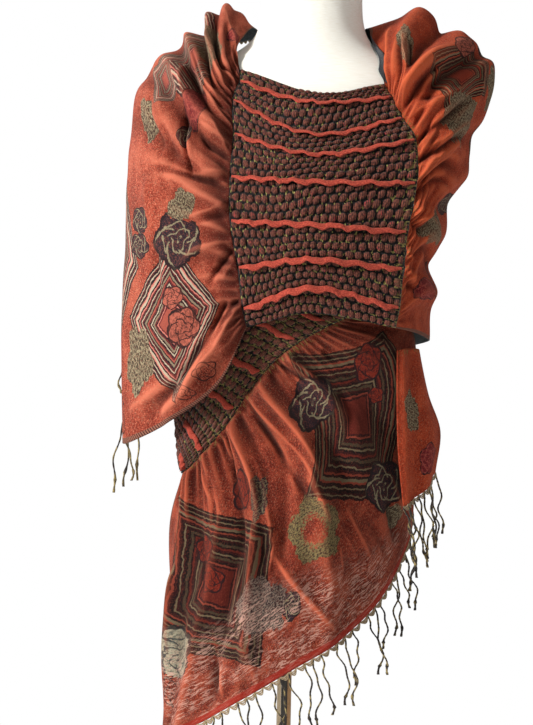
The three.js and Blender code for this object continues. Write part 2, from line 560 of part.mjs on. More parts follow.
// One strand: a three-sided tapering length of thread that leaves its root along the cloth and then hangs
function strand(root, { n, length, down, out, lean, splay, seed }) {
  const points = [];
  const triangles = [];
  const sway = Math.sin(1.9 * n + seed) * 0.09;
  for (let k = 0; k <= STRAND.kinks; k += 1) {
    const f = k / STRAND.kinks;
    const centre = root.clone().addScaledVector(down, length * splay * Math.min(1, 2 * f));
    centre.addScaledVector(out, length * (lean + 0.03 * (n % 3)) * Math.min(1, 1.6 * f));
    centre.x += length * sway * f;
    centre.z -= length * (f - splay * Math.min(1, 2 * f) * Math.max(0, -down.z));
    if (k > 0) restOnForm(centre, SKIN_GAP + 1);
    for (let i = 0; i < 3; i += 1) {
      const angle = (2 * Math.PI * i) / 3 + 0.4 * n;
      const r = STRAND.thick * 0.62;
      points.push(centre.clone().add(new THREE.Vector3(r * Math.cos(angle), r * Math.sin(angle), 0)));
    }
  }
  for (let k = 0; k < STRAND.kinks; k += 1)
    for (let i = 0; i < 3; i += 1) {
      const [a, b] = [k * 3 + i, k * 3 + ((i + 1) % 3)];
      triangles.push([a, b, b + 3], [a, b + 3, a + 3]);
    }
  const far = STRAND.kinks * 3;
  triangles.push([0, 2, 1], [far, far + 1, far + 2]);
  return solidGeometry(points, triangles);
}

function solidOf(geometry) {
  return new wasm.Manifold(new wasm.Mesh({
    numProp: 3,
    vertProperties: Float32Array.from(geometry.attributes.position.array),
    triVerts: Uint32Array.from(geometry.index.array),
  }));
}

addForm();
addStand();
addFrontBand();
for (let k = 1; k < BAND_FRONT.length - 1; k += 1)
  addRuffle(`ruffle_front_${k}`, frontBase, -1, { line: (f) => [f, k / (BAND_FRONT.length - 1)],
    start: 0.5 / BUBBLE.columns, end: 1 - 0.5 / BUBBLE.columns, steps: BUBBLE.columns - 1, waves: 7.4,
    seed: 1.3 * k });

const row = (points) => (t) => through(points, t);

const leftSide = clothSurface({
  rows: [(t) => frontBase(0, t).toArray(), row(LEFT_SECTIONS.near), row(LEFT_SECTIONS.fore),
    row(LEFT_SECTIONS.side), row(LEFT_SECTIONS.fringed)],
  relief: (s, t) => gatherHeight(LEFT_GATHERS, s, t) + foldHeight(LEFT_FOLDS, s, t),
  outward: 1,
});
const bandNormal = (u) => (t) => normalOf(frontBase, u, t, -1);
const closerAbove = (v) => (v < 0.58 ? (0.5 * v) / 0.58 : 1 - (0.5 * (1 - v)) / 0.42);
const LEFT_GRID = { across: 46, along: 8 };
drape("stretch_left", { surface: leftSide, ...LEFT_GRID, start: 1.3 * SEAM, startNormal: bandNormal(0),
  spread: closerAbove });

// One surface from the first band over the other shoulder and down the back, cut into two stretches
const rightSide = clothSurface({
  rows: [(t) => frontBase(1, t).toArray(), row(RIGHT_SECTIONS.near), row(RIGHT_SECTIONS.fore),
    row(RIGHT_SECTIONS.side), row(RIGHT_SECTIONS.behind), row(BACK_SECTIONS.nape),
    row(BACK_SECTIONS.middle), row(BACK_SECTIONS.blade), row(BACK_SECTIONS.waist)],
  relief: (s, t) => gatherHeight(RIGHT_GATHERS, s, t) + gatherHeight(WAIST_GATHERS, 1 - s, t)
    + foldHeight(RIGHT_FOLDS, s, t),
  outward: -1,
  gap: (s) => SKIN_GAP + 1.6 * smoothStep(0.05, 0.2, s) * (1 - smoothStep(0.9, 1, s)),
});
const waistNormal = (t) => normalOf(rightSide.outer, 1, t, -1);
drape("stretch_right", { surface: rightSide, to: 0.5, across: 40, along: 8, start: 1.3 * SEAM,
  startNormal: bandNormal(1), end: 0.75 * SEAM });
drape("stretch_back", { surface: rightSide, from: 0.5, across: 40, along: 7, start: 0.75 * SEAM,
  end: SEAM / 2, endNormal: waistNormal });

// The second smocked band, with its ruffle lines at some rows of its bubbles
const sideRuffleRows = SIDE_RUFFLES.map((t) => Math.round(t * SIDE_GRID.across));
const sideBand = clothSurface({
  rows: [row(BACK_SECTIONS.waist), row(BAND_SIDE_SECTIONS.under), row(BAND_SIDE_SECTIONS.fore),
    row(FAN_SECTIONS.gather)],
  relief: (s, t) => {
    const [column, level] = [Math.round(s * SIDE_GRID.along), Math.round(t * SIDE_GRID.across)];
    const edge = column === 0 || column === SIDE_GRID.along || level === 0 || level === SIDE_GRID.across;
    return !edge && !sideRuffleRows.includes(level) && (column + level) % 2 === 0 ? BUBBLE.height - 1 : 0;
  },
  outward: -1,
});
const sideBase = (s, t) => restOnForm(sideBand.base(s, t), SKIN_GAP + CLOTH);
const gatherNormal = (t) => normalOf(sideBase, 1, t, -1);
drape("band_side", { surface: { ...sideBand, plain: sideBase }, ...SIDE_GRID, start: SEAM / 2,
  startNormal: waistNormal, end: SEAM / 2, endNormal: gatherNormal, kind: "smocking", peaks: true,
  inner: { across: 13, along: 10 } });
sideRuffleRows.forEach((level, k) =>
  addRuffle(`ruffle_side_${k + 1}`, sideBase, -1, { line: (f) => [f, level / SIDE_GRID.across],
    start: SIDE_RUFFLE_FROM, end: 1 - 0.5 / SIDE_GRID.along, steps: 11, waves: 2.6, seed: 2.1 * k,
    scale: 0.85 }));

const fan = clothSurface({
  rows: [row(FAN_SECTIONS.gather), row(FAN_SECTIONS.upper), row(FAN_SECTIONS.lower), row(FAN_SECTIONS.hem)],
  relief: (s, t) => gatherHeight(FAN_GATHERS, s, t) + foldHeight(FAN_FOLDS, s, t),
  outward: -1,
});
const FAN_GRID = { across: 48, along: 8 };
drape("fan_panel", { surface: fan, ...FAN_GRID, start: SEAM / 2, startNormal: gatherNormal });

const corner = clothSurface({
  rows: CORNER_SECTIONS.map(({ fold, middle, selvedge }) => row([fold, middle, selvedge])),
  relief: (s, t) => 2.5 * Math.sin(2 * Math.PI * (1.6 * t + 0.2 * s)) * smoothStep(0, 0.2, t),
  outward: 1,
});
const CORNER_GRID = { across: 9, along: 8 };
drape("fan_corner", { surface: corner, ...CORNER_GRID });

// The place at a share f of a stretch's far edge, with the way out of the edge in the cloth's plane and
// the way out of the cloth.
const farEdge = ({ outer, outward }, spread = (v) => v) => (f) => {
  const t = spread(f);
  const out = normalOf(outer, 1, t, outward);
  const edge = outer(1, Math.min(t + 0.01, 1)).sub(outer(1, Math.max(t - 0.01, 0)));
  const down = new THREE.Vector3().crossVectors(edge, out).normalize().multiplyScalar(outward);
  return { p: outer(1, t).addScaledVector(out, -(CLOTH + STRIP.thick) / 2), down, out };
};
addFringe("fringe_hem", farEdge(fan), { points: FAN_GRID.across, lean: 0.02, seed: 0.4,
  skip: (n) => n > 8 && n % 2 === 0 });
addFringe("fringe_corner", farEdge(corner), { points: CORNER_GRID.across, first: 0,
  last: CORNER_GRID.across, drop: 66, lean: 0.04, seed: 1.9 });
addFringe("fringe_left", farEdge(leftSide, closerAbove), { points: LEFT_GRID.across, lean: 0.03, splay: 0.1,
  seed: 3.1, skip: (n) => n % 2 === 0 });

export default shawl;
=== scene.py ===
import math

import bpy
import numpy as np
from mathutils import Matrix, Vector


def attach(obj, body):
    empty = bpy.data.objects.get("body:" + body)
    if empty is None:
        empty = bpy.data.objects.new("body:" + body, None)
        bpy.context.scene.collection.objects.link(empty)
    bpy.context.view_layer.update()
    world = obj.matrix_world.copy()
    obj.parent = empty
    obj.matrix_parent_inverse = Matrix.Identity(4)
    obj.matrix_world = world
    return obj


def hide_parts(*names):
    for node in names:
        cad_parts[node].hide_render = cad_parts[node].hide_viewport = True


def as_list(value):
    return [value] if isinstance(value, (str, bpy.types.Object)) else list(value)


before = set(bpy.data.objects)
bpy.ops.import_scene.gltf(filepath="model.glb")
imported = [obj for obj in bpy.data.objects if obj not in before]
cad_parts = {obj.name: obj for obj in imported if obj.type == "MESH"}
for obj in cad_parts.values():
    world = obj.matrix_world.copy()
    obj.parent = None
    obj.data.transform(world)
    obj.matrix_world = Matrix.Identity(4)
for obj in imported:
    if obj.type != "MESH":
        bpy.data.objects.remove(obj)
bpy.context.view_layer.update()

# Lengths below are in millimetres until a mesh is made. +Z is up and the wearer's front faces -Y.
MM = 0.001

# the camera, at the photograph's viewing angle

CAMERA_AT = (-27.5, -2000.0, 1034.0)
CAMERA_ROLL = math.radians(1.2)
VIEW_HEIGHT = 812.0  # what the picture's height takes in, at the form's axis
SENSOR = 36.0


def add_camera():
    data = bpy.data.cameras.new("camera")
    data.sensor_width = SENSOR
    data.lens = SENSOR * -CAMERA_AT[1] / VIEW_HEIGHT
    camera = bpy.data.objects.new("camera", data)
    bpy.context.scene.collection.objects.link(camera)
    c, s = math.cos(CAMERA_ROLL), math.sin(CAMERA_ROLL)
    x, y, z = (value * MM for value in CAMERA_AT)
    camera.matrix_world = Matrix(((c, -s, 0, x), (0, 0, -1, y), (s, c, 0, z), (0, 0, 0, 1)))
    bpy.context.scene.camera = camera


# the form and the cloth's surfaces, from the same tables as the solids

CLOTH = 1.2
SHELL = 0.9  # thickness of the cloth that shows
SKIN_GAP = 1.1
FORM_SQUARENESS = 2.2
FORM_BOTTOM, FORM_TOP = 800.0, 1500.0

# height, half width, half depth, centre x, centre y
FORM_SECTIONS = np.array([
    (800, 106, 88, 1, 0), (812, 118, 99, 1, 0), (836, 120, 101, 1, 0), (880, 110, 92, 2, 0),
    (945, 102, 83, 3, 0), (1000, 106, 87, 4, -1), (1050, 112, 94, 5, -4), (1100, 120, 106, 6, -8),
    (1150, 127, 120, 7, -11), (1205, 134, 115, 8, -7), (1250, 160, 107, 10, -1), (1275, 173, 103, 11, 1),
    (1300, 176, 99, 11, 2), (1325, 172, 93, 11, 2), (1345, 152, 86, 12, 2), (1362, 116, 78, 13, 2),
    (1378, 84, 69, 14, 1), (1395, 65, 63, 15, 0), (1415, 58, 60, 15, -1), (1440, 56, 58, 15, -3),
    (1500, 54, 56, 15, -6)], float)

# ruffle lines down the chest: left, middle, right. Most points here, and some in the next two tables, are
# places picked in the photograph that a scratch script turned into millimetres, as report.md says.
BAND_FRONT = [
    [(-62, -72, 1347), (21, -96, 1323), (92, -78, 1335)],
    [(-62, -79, 1335), (19, -103, 1312), (101, -86, 1322)],
    [(-70, -90, 1315), (15, -120, 1276), (112, -97, 1298)],
    [(-68, -112, 1276), (16, -132, 1254), (126, -108, 1274)],
    [(-70, -128, 1229), (16, -142, 1225), (127, -121, 1227)],
    [(-69, -137, 1182), (17, -149, 1180), (118, -129, 1175)],
    [(-60, -142, 1133), (17, -151, 1144), (114, -132, 1136)],
    [(-54, -141, 1090), (18, -148, 1115), (111, -132, 1095)],
    [(-49, -138, 1070), (19, -142, 1086), (107, -130, 1073)]]
# sections across the cloth, seven stations each: selvedge, roll, inner, shoulder, upper, lower, hem
LEFT_SECTIONS = [
    [(-67, -48, 1376), (-82, -76, 1357), (-98, -98, 1321), (-106, -118, 1256), (-106, -128, 1182),
     (-93, -132, 1098), (-77, -126, 1011)],
    [(-60, -22, 1395), (-86, -40, 1398), (-112, -62, 1358), (-143, -85, 1302), (-150, -95, 1205),
     (-146, -95, 1077), (-122, -88, 973)],
    [(-49, 8, 1410), (-82, 6, 1430), (-122, 0, 1394), (-177, -4, 1339), (-183, -8, 1223), (-188, -12, 1089),
     (-181, -18, 941)],
    [(-35, 66, 1404), (-75, 68, 1402), (-114, 66, 1376), (-168, 64, 1318), (-182, 64, 1200),
     (-190, 48, 1080), (-186, 14, 950)]]
RIGHT_SECTIONS = [
    [(88, -48, 1355), (114, -90, 1361), (148, -98, 1328), (156, -98, 1275), (147, -100, 1211),
     (138, -100, 1141), (130, -97, 1069)],
    [(80, -22, 1388), (128, -42, 1402), (173, -52, 1369), (198, -46, 1332), (171, -52, 1235),
     (152, -52, 1144), (147, -52, 1064)],
    [(78, 8, 1412), (144, 4, 1429), (192, 2, 1401), (218, 5, 1346), (187, 4, 1250), (155, 4, 1151),
     (152, 2, 1061)],
    [(52, 68, 1402), (90, 72, 1400), (134, 70, 1380), (168, 76, 1312), (150, 86, 1222), (134, 90, 1130),
     (126, 84, 1052)],
    [(16, 78, 1396), (38, 88, 1390), (64, 97, 1362), (84, 110, 1292), (82, 116, 1205), (76, 112, 1115),
     (72, 104, 1030)],
    [(-38, 94, 1352), (-36, 100, 1334), (-35, 108, 1300), (-34, 118, 1242), (-34, 120, 1165),
     (-34, 112, 1082), (-34, 102, 1000)],
    [(-107, 98, 1268), (-109, 101, 1248), (-108, 100, 1217), (-103, 94, 1166), (-103, 89, 1108),
     (-102, 83, 1046), (-100, 77, 976)],
    [(-141, 4, 1184), (-140, 3, 1165), (-137, 0, 1137), (-133, -2, 1098), (-129, -4, 1050), (-123, -6, 998),
     (-119, -8, 940)]]
FAN_SECTIONS = [
    [(57, -122, 1083), (31, -122, 1070), (4, -120, 1054), (-20, -115, 1034), (-44, -106, 1004),
     (-66, -94, 970), (-89, -79, 941), (-107, -60, 920), (-117, -42, 912)],
    [(128, -56, 1078), (108, -94, 1022), (72, -114, 980), (38, -124, 955), (2, -126, 925), (-34, -119, 890),
     (-72, -99, 850), (-116, -62, 820), (-132, -12, 845)],
    [(136, -40, 985), (126, -68, 925), (94, -102, 880), (50, -124, 846), (4, -130, 815), (-42, -121, 780),
     (-88, -92, 735), (-128, -38, 705), (-127, 36, 730)],
    [(134, -34, 925), (129, -54, 842), (100, -92, 784), (52, -118, 740), (2, -127, 709), (-50, -115, 675),
     (-102, -76, 638), (-136, -14, 607), (-116, 56, 620)]]
SIDE_SECTIONS = [
    RIGHT_SECTIONS[-1],
    [(-110, -76, 1162), (-112, -75, 1138), (-115, -71, 1103), (-120, -62, 1060), (-124, -52, 1016),
     (-125, -42, 973), (-121, -28, 925)],
    [(-28, -125, 1124), (-44, -121, 1098), (-62, -113, 1066), (-82, -100, 1028), (-98, -86, 988),
     (-111, -66, 948), (-119, -42, 915)],
    FAN_SECTIONS[0],
]
CORNER_SECTIONS = [
    [(112, -94, 1050), (127, -76, 1053), (141, -46, 1050)],
    [(112, -102, 1000), (134, -84, 1003), (152, -50, 1004)],
    [(114, -106, 945), (141, -88, 950), (166, -52, 963)],
    [(121, -104, 884), (141, -88, 897), (161, -58, 918)]]

# folds: at, drift, width, height, from, to, as in the solids
LEFT_FOLDS = [
    (0.07, 0.01, 0.03, 3, 0.1, 1.3), (0.15, 0.01, 0.026, 6, 0.08, 1.5), (0.195, 0.01, 0.02, -5, 0.1, 1.3),
    (0.23, 0.01, 0.022, 8, 0.1, 1.3), (0.275, 0.015, 0.02, -11, 0.1, 1.1), (0.315, 0.02, 0.02, 9, 0.1, 1),
    (0.355, 0.02, 0.018, -9, 0.1, 0.85), (0.4, 0.02, 0.024, 11, 0.06, 0.85),
    (0.45, 0.03, 0.022, -8, 0.06, 0.9), (0.505, 0.03, 0.026, 5, 0, 0.8), (0.55, 0.03, 0.02, -6, 0, 0.8),
    (0.595, 0.03, 0.026, 5, -0.1, 0.9), (0.7, -0.04, 0.05, 4, 0, 1.1), (0.855, 0.04, 0.024, -6, -0.05, 0.6),
    (0.93, 0.03, 0.035, 5, -0.1, 0.8)]
RIGHT_FOLDS = [
    (0.1, 0.1, 0.032, 7, 0.02, 1), (0.17, 0.18, 0.036, -17, 0.06, 0.8), (0.19, 0.42, 0.03, 12, 0.015, 0.42),
    (0.26, 0.4, 0.026, -12, 0.03, 0.5), (0.38, 0.14, 0.05, 6, 0.04, 1), (0.58, 0.06, 0.022, -6, 0.04, 0.9),
    (0.65, 0.05, 0.024, 6, 0.03, 1), (0.71, 0.05, 0.02, -4, 0.03, 0.8), (0.765, 0.04, 0.024, 5, 0.03, 1),
    (0.83, 0.03, 0.022, -6, 0.03, 0.9), (0.89, 0.02, 0.026, 7, 0.02, 1)]
FAN_FOLDS = [
    (0.12, -0.02, 0.045, 5, 0, 1.2), (0.22, -0.03, 0.03, -4, 0, 0.8), (0.33, -0.12, 0.035, 9, -0.1, 0.62),
    (0.395, -0.08, 0.024, -6, -0.1, 0.6), (0.465, -0.08, 0.034, 12, -0.1, 1.1),
    (0.55, -0.03, 0.026, -6, -0.1, 0.9), (0.62, 0, 0.028, 10, -0.1, 1.1), (0.685, 0.02, 0.02, -8, -0.1, 1.1),
    (0.75, 0.03, 0.025, 9, -0.1, 1.5), (0.81, 0.04, 0.02, -5, -0.1, 1.5), (0.865, 0.04, 0.022, 8, -0.1, 0.9)]

# gathers that leave a smocked edge: count, height, fade, seed. The second of each pair is the finer one.
LEFT_GATHERS = [(13, 4.6, 0.26, 1.7), (34, 2.0, 0.14, 0.4)]
RIGHT_GATHERS = [(12, 5.0, 0.14, 4.1), (36, 2.2, 0.07, 2.2)]
WAIST_GATHERS = [(11, 4.0, 0.1, 0.6), (28, 1.4, 0.05, 3.0)]
FAN_GATHERS = [(15, 4.6, 0.22, 2.9), (38, 2.0, 0.14, 1.1)]


def smooth_step(low, high, x):
    t = np.clip((x - low) / (high - low), 0, 1)
    return t * t * (3 - 2 * t)


def cubic(start, rise, out, into, f):
    """The place at share f of a smooth run from start by rise, with the slopes out and into at its ends."""
    return start + f * (out + f * (3 * rise - 2 * out - into + f * (out + into - 2 * rise)))


def through(points, t):
    """The places at each t, from 0 to 1, on a smooth curve through evenly spaced points. points is (n, 3), or
    (n, len(t), 3) for a curve of its own at each t."""
    p = np.asarray(points, float)
    if p.ndim == 2:
        p = np.repeat(p[:, None], len(t), 1)
    last = len(p) - 1
    x = np.clip(t, 0, 1) * last
    i = np.minimum(x.astype(int), last - 1)
    full = np.concatenate([2 * p[:1] - p[1:2], p, 2 * p[-1:] - p[-2:-1]])
    column = np.arange(len(t))
    before, start, end, after = (full[i + n, column] for n in range(4))
    return cubic(start, end - start, (end - before) / 2, (after - start) / 2, (x - i)[:, None])


def form_section(z):
    """Half width, half depth and centre of the form at each height."""
    table = FORM_SECTIONS
    last = len(table) - 1
    height = np.clip(z, FORM_BOTTOM, FORM_TOP)
    i = np.clip(np.searchsorted(table[:, 0], height) - 1, 0, last - 1)
    low, high = table[i], table[i + 1]
    below, above = table[np.maximum(i - 1, 0)], table[np.minimum(i + 2, last)]
    span = (high[:, :1] - low[:, :1])
    f = (height[:, None] - low[:, :1]) / span
    out = (high - below) / (high[:, :1] - below[:, :1]) * span
    into = (above - low) / (above[:, :1] - low[:, :1]) * span
    return cubic(low, high - low, out, into, f)[:, 1:].T


def outside(p):
    """How far out points lie: 0 on the form's skin, and 1 at twice its size."""
    a, b, cx, cy = form_section(p[:, 2])
    across = np.abs((p[:, 0] - cx) / a) ** FORM_SQUARENESS
    deep = np.abs((p[:, 1] - cy) / b) ** FORM_SQUARENESS
    return (across + deep) ** (1 / FORM_SQUARENESS) - 1


REST_ROUNDS, REST_STEP, REST_CLOSE = 4, 0.5, 1e-4


def rest_on_form(p, gap):
    """Moves the points that are nearer to the form's skin than gap out to it."""
    p = p.copy()
    gap = np.broadcast_to(gap, len(p))
    for _ in range(REST_ROUNDS):
        here = outside(p)
        slope = np.stack([outside(p + REST_STEP * axis) - here for axis in np.eye(3)], 1) / REST_STEP
        size = np.linalg.norm(slope, axis=1)
        away = here / size
        short = np.maximum(gap - away, 0)
        if short.max() < REST_CLOSE:
            break
        p += slope / size[:, None] * short[:, None]
    return p


def unit(v):
    return v / np.maximum(np.linalg.norm(v, axis=1), 1e-9)[:, None]


def slopes(surface, u, v, h):
    """How a surface runs at each (u, v): along u, and along v."""
    return (surface(np.minimum(u + h, 1), v) - surface(np.maximum(u - h, 0), v),
            surface(u, np.minimum(v + h, 1)) - surface(u, np.maximum(v - h, 0)))


def normal_of(surface, u, v, outward):
    return unit(np.cross(*slopes(surface, u, v, 0.004))) * outward


def profile(x, height):
    """A crease's shape over its half width: crests are sharper than troughs."""
    return np.exp(-np.abs(x) ** (1.35 if height > 0 else 1.7))


def fold_height(folds, s, t):
    """Folds that run along s: each drifts over t, and comes and goes between two places."""
    total = np.zeros_like(s)
    for at, drift, width, height, start, stop in folds:
        x = (t - at - drift * s) / width
        begun = smooth_step(start, start + 0.12, s) * smooth_step(0, 0.03, s)
        total += height * np.exp(-x * x) * begun * (1 - smooth_step(stop - 0.3, stop, s))
    return total


def gather_height(gathers, s, t):
    """Gathers side by side over t, which leave the edge at s = 0 and fade."""
    total = np.zeros_like(s)
    for count, height, fade, seed in gathers:
        uneven = 0.32 * np.sin(5.1 * t + seed) + 0.2 * np.sin(13.7 * t + 2 * seed)
        wave = np.sin(2 * np.pi * (count * t + uneven))
        size = 0.75 + 0.25 * np.sin(9.3 * t + seed)
        ends = smooth_step(0, 0.03, t) * (1 - smooth_step(0.97, 1, t))
        total += height * size * wave * ends * smooth_step(0, fade / 4, s) * np.exp(-s / fade)
    return total


def crease_height(creases, size, s, t):
    """Creases: each runs between two places (s, t), with a half width and a height."""
    total = np.zeros_like(s)
    a, b = s * size[0], t * size[1]
    for s0, t0, s1, t1, width, height in creases:
        x0, y0, x1, y1 = s0 * size[0], t0 * size[1], s1 * size[0], t1 * size[1]
        run = math.hypot(x1 - x0, y1 - y0)
        dx, dy = (x1 - x0) / run, (y1 - y0) / run
        q = ((a - x0) * dx + (b - y0) * dy) / run
        d = ((b - y0) * dx - (a - x0) * dy) / width
        fade = smooth_step(-0.15, 0.25, q) * (1 - smooth_step(0.7, 1.15, q))
        total += height * profile(d, height) * fade
    return total


class Surface:
    """A draped cloth's surface. s runs along the cloth and t across it, both from 0 to 1."""

    def __init__(self, rows, outward, size, relief=lambda s, t: 0 * s, gap=lambda s: SKIN_GAP, creases=()):
        self.rows, self.outward, self.size = rows, outward, size
        self.relief, self.gap, self.creases = relief, gap, creases

    def base(self, s, t):
        return through(np.stack([row(t) for row in self.rows]), s)

    def normal(self, s, t):
        return normal_of(self.base, s, t, self.outward)

    def height(self, s, t):
        return self.relief(s, t) + crease_height(self.creases, self.size, s, t)

    def outer(self, s, t):
        p = self.base(s, t) + self.normal(s, t) * self.height(s, t)[:, None]
        return rest_on_form(p, self.gap(s) + CLOTH)


def row(points):
    return lambda t: through(points, t)


def front_base(u, v):
    """The first band, with u across the chest and v down it."""
    return rest_on_form(through(np.stack([through(points, u) for points in BAND_FRONT]), v), SKIN_GAP + CLOTH)


def side_base(s, t):
    return rest_on_form(Surface.base(side_band, s, t), SKIN_GAP + CLOTH)


# creases: from s and t, to s and t, half width, height. Their ends were picked in the photograph, and a
# scratch script turned them into s and t and scaled the heights, as report.md says.
LEFT_CREASES = [
    (0.61, 0.154, 0.09, 0, 7, 7), (0.5, 0.223, 0.13, 0.165, 4, -8), (0.54, 0.242, 0.04, 0.173, 6, 7),
    (0.41, 0.246, 0.06, 0.242, 4, -8), (0.59, 0.308, 0.02, 0.273, 6, 6), (0.55, 0.323, 0.05, 0.323, 4, -8),
    (0.64, 0.35, 0.31, 0.442, 7, 7), (0.39, 0.442, 0.28, 0.577, 5, -10), (0.01, 0.362, 0.21, 0.338, 5, 4),
    (0, 0.423, 0.24, 0.427, 5, 6), (0, 0.454, 0.28, 0.45, 4, -6), (0.49, 0.615, 0, 0.515, 4, -7),
    (0.41, 0.596, 0, 0.496, 5, 4), (0, 0.585, 0.26, 0.658, 5, 4), (0, 0.612, 0.28, 0.677, 4, -4),
    (0, 0.681, 0.36, 0.754, 5, 6), (0, 0.704, 0.21, 0.8, 4, -7), (0, 0.727, 0.11, 0.788, 6, 6),
    (0.47, 0.523, 0.39, 0.596, 9, -6), (0.55, 0.642, 0.5, 0.719, 9, 4), (0.49, 0.738, 0.47, 0.804, 6, -4),
    (0.72, 0.435, 0.5, 0.508, 8, 4), (0.6, 0.5, 0.47, 0.6, 5, -4), (0, 0.838, 0.21, 0.904, 5, -7),
    (0.28, 0.927, 0.45, 0.977, 8, 6), (0.45, 0.946, 0.65, 0.985, 9, -4), (0.53, 0.942, 0.71, 0.962, 8, 4),
    (0.16, 0.404, 0.03, 0.442, 4, 4), (0.14, 0.542, 0, 0.546, 4, -3), (0.01, 0.865, 0.23, 0.935, 9, 12),
    (0.23, 0.935, 0.41, 0.969, 9, 12), (0.41, 0.969, 0.56, 0.981, 9, 10), (0.11, 0.846, 0.29, 0.908, 5, -10),
    (0.29, 0.908, 0.44, 0.946, 5, -10), (0.44, 0.946, 0.61, 0.965, 5, -8)]
RIGHT_CREASES = [
    (0.29, 0.065, 0, 0.096, 5, 8), (0.21, 0.119, 0.04, 0.154, 4, -10), (0.18, 0.142, 0.07, 0.2, 5, 8),
    (0.21, 0.154, 0.15, 0.177, 5, -12), (0, 0.185, 0.24, 0.269, 9, 8), (0, 0.223, 0.21, 0.3, 5, -10),
    (0, 0.377, 0.23, 0.496, 5, -8), (0, 0.419, 0.24, 0.558, 5, 5), (0, 0.442, 0.27, 0.612, 4, -8),
    (0, 0.465, 0.3, 0.631, 7, 8), (0, 0.512, 0.24, 0.646, 5, -8), (0, 0.488, 0.25, 0.631, 6, 5),
    (0, 0.535, 0.19, 0.658, 4, -7), (0, 0.565, 0.09, 0.669, 6, 5), (0, 0.596, 0.09, 0.735, 5, -8),
    (0, 0.615, 0.19, 0.758, 6, 7), (0, 0.688, 0.04, 0.769, 5, 5), (0.02, 0.754, 0.24, 0.831, 6, -8),
    (0, 0.746, 0.09, 0.885, 6, 7), (0.02, 0.812, 0.1, 0.896, 5, -8), (0.03, 0.3, 0.2, 0.415, 5, 5),
    (0.06, 0.277, 0.14, 0.373, 5, -7), (0.29, 0.365, 0.24, 0.531, 8, 5), (0.17, 0.273, 0.14, 0.362, 4, -7)]
FAN_CREASES = [
    (0.58, 0.554, 0.91, 0.4, 5, 6), (0.41, 0.454, 0.57, 0.4, 5, 4), (0.39, 0.592, 0.54, 0.565, 5, 6),
    (0.54, 0.565, 0.62, 0.569, 5, 4), (0, 0.315, 0.14, 0.285, 5, 8), (0.01, 0.362, 0.14, 0.319, 4, -7),
    (0.14, 0.362, 0.16, 0.392, 5, -4), (0.05, 0.188, 0.09, 0.219, 5, 4), (0.22, 0.254, 0.38, 0.308, 7, -4),
    (0.78, 0.623, 1, 0.573, 8, 4), (0.68, 0.735, 0.94, 0.688, 8, -6), (0.47, 0.838, 0.71, 0.769, 8, 4),
    (0.64, 0.473, 0.84, 0.381, 7, -4), (0.51, 0.404, 0.78, 0.315, 8, 4), (0.73, 0.362, 0.91, 0.296, 8, -4),
    (0.68, 0.212, 0.88, 0.181, 6, -6), (0.68, 0.373, 0.78, 0.358, 4, 3), (0, 0.523, 0.24, 0.488, 6, 8),
    (0.24, 0.488, 0.47, 0.431, 6, 7), (0.47, 0.431, 0.58, 0.4, 6, 4), (0.07, 0.542, 0.31, 0.519, 4, -7),
    (0.31, 0.519, 0.47, 0.462, 4, -5), (0.01, 0.469, 0.23, 0.45, 6, 6), (0.23, 0.45, 0.44, 0.423, 5, 5),
    (0.04, 0.608, 0.34, 0.619, 5, 8), (0.01, 0.654, 0.19, 0.692, 4, -8), (0, 0.796, 0.2, 0.758, 5, 6),
    (0.02, 0.85, 0.21, 0.85, 5, 6), (0.09, 0.75, 0.31, 0.758, 4, -6), (0.17, 0.608, 0.42, 0.608, 4, -5),
    (0.42, 0.608, 0.58, 0.592, 5, -4), (0.59, 0.55, 0.92, 0.396, 5, 6), (0.37, 0.473, 0.57, 0.404, 5, 4),
    (0.34, 0.692, 0.62, 0.654, 5, -6), (0.4, 0.635, 0.64, 0.615, 6, 5), (0.13, 0.927, 0.46, 0.862, 5, -5),
    (0.34, 0.885, 0.66, 0.865, 6, 5), (0.22, 0.831, 0.55, 0.765, 5, -4), (0.68, 0.723, 0.96, 0.662, 6, 5),
    (0.8, 0.646, 1, 0.596, 6, -5), (0.56, 0.35, 0.81, 0.281, 5, 4), (0.68, 0.277, 0.89, 0.215, 5, -4),
    (0.59, 0.196, 0.82, 0.162, 5, 4)]

# size: roughly how long and how wide the surface is along its own lines
left_side = Surface(
    [lambda t: front_base(np.zeros_like(t), t), *map(row, LEFT_SECTIONS)], 1, (300, 440),
    lambda s, t: gather_height(LEFT_GATHERS, s, t) + fold_height(LEFT_FOLDS, s, t), creases=LEFT_CREASES)
right_side = Surface(
    [lambda t: front_base(np.ones_like(t), t), *map(row, RIGHT_SECTIONS)], -1, (680, 380),
    lambda s, t: gather_height(RIGHT_GATHERS, s, t) + gather_height(WAIST_GATHERS, 1 - s, t)
    + fold_height(RIGHT_FOLDS, s, t),
    gap=lambda s: SKIN_GAP + 1.6 * smooth_step(0.05, 0.2, s) * (1 - smooth_step(0.9, 1, s)),
    creases=RIGHT_CREASES)
fan = Surface(
    [*map(row, FAN_SECTIONS)], -1, (330, 420),
    lambda s, t: gather_height(FAN_GATHERS, s, t) + fold_height(FAN_FOLDS, s, t), creases=FAN_CREASES)
corner = Surface(
    [*map(row, CORNER_SECTIONS)], 1, (165, 70),
    lambda s, t: 2.5 * np.sin(2 * np.pi * (1.6 * t + 0.2 * s)) * smooth_step(0, 0.2, t))
side_band = Surface([*map(row, SIDE_SECTIONS)], -1, (230, 250))
front_band = Surface([], -1, (180, 265))
side_band.base, front_band.base = side_base, front_base


# meshes

def grid(across, along, share=(0, 1)):
    """The two shares of each of a grid's points, which run across first."""
    first, second = np.meshgrid(np.linspace(*share, across + 1), np.linspace(0, 1, along + 1), indexing="xy")
    return first.ravel(), second.ravel()


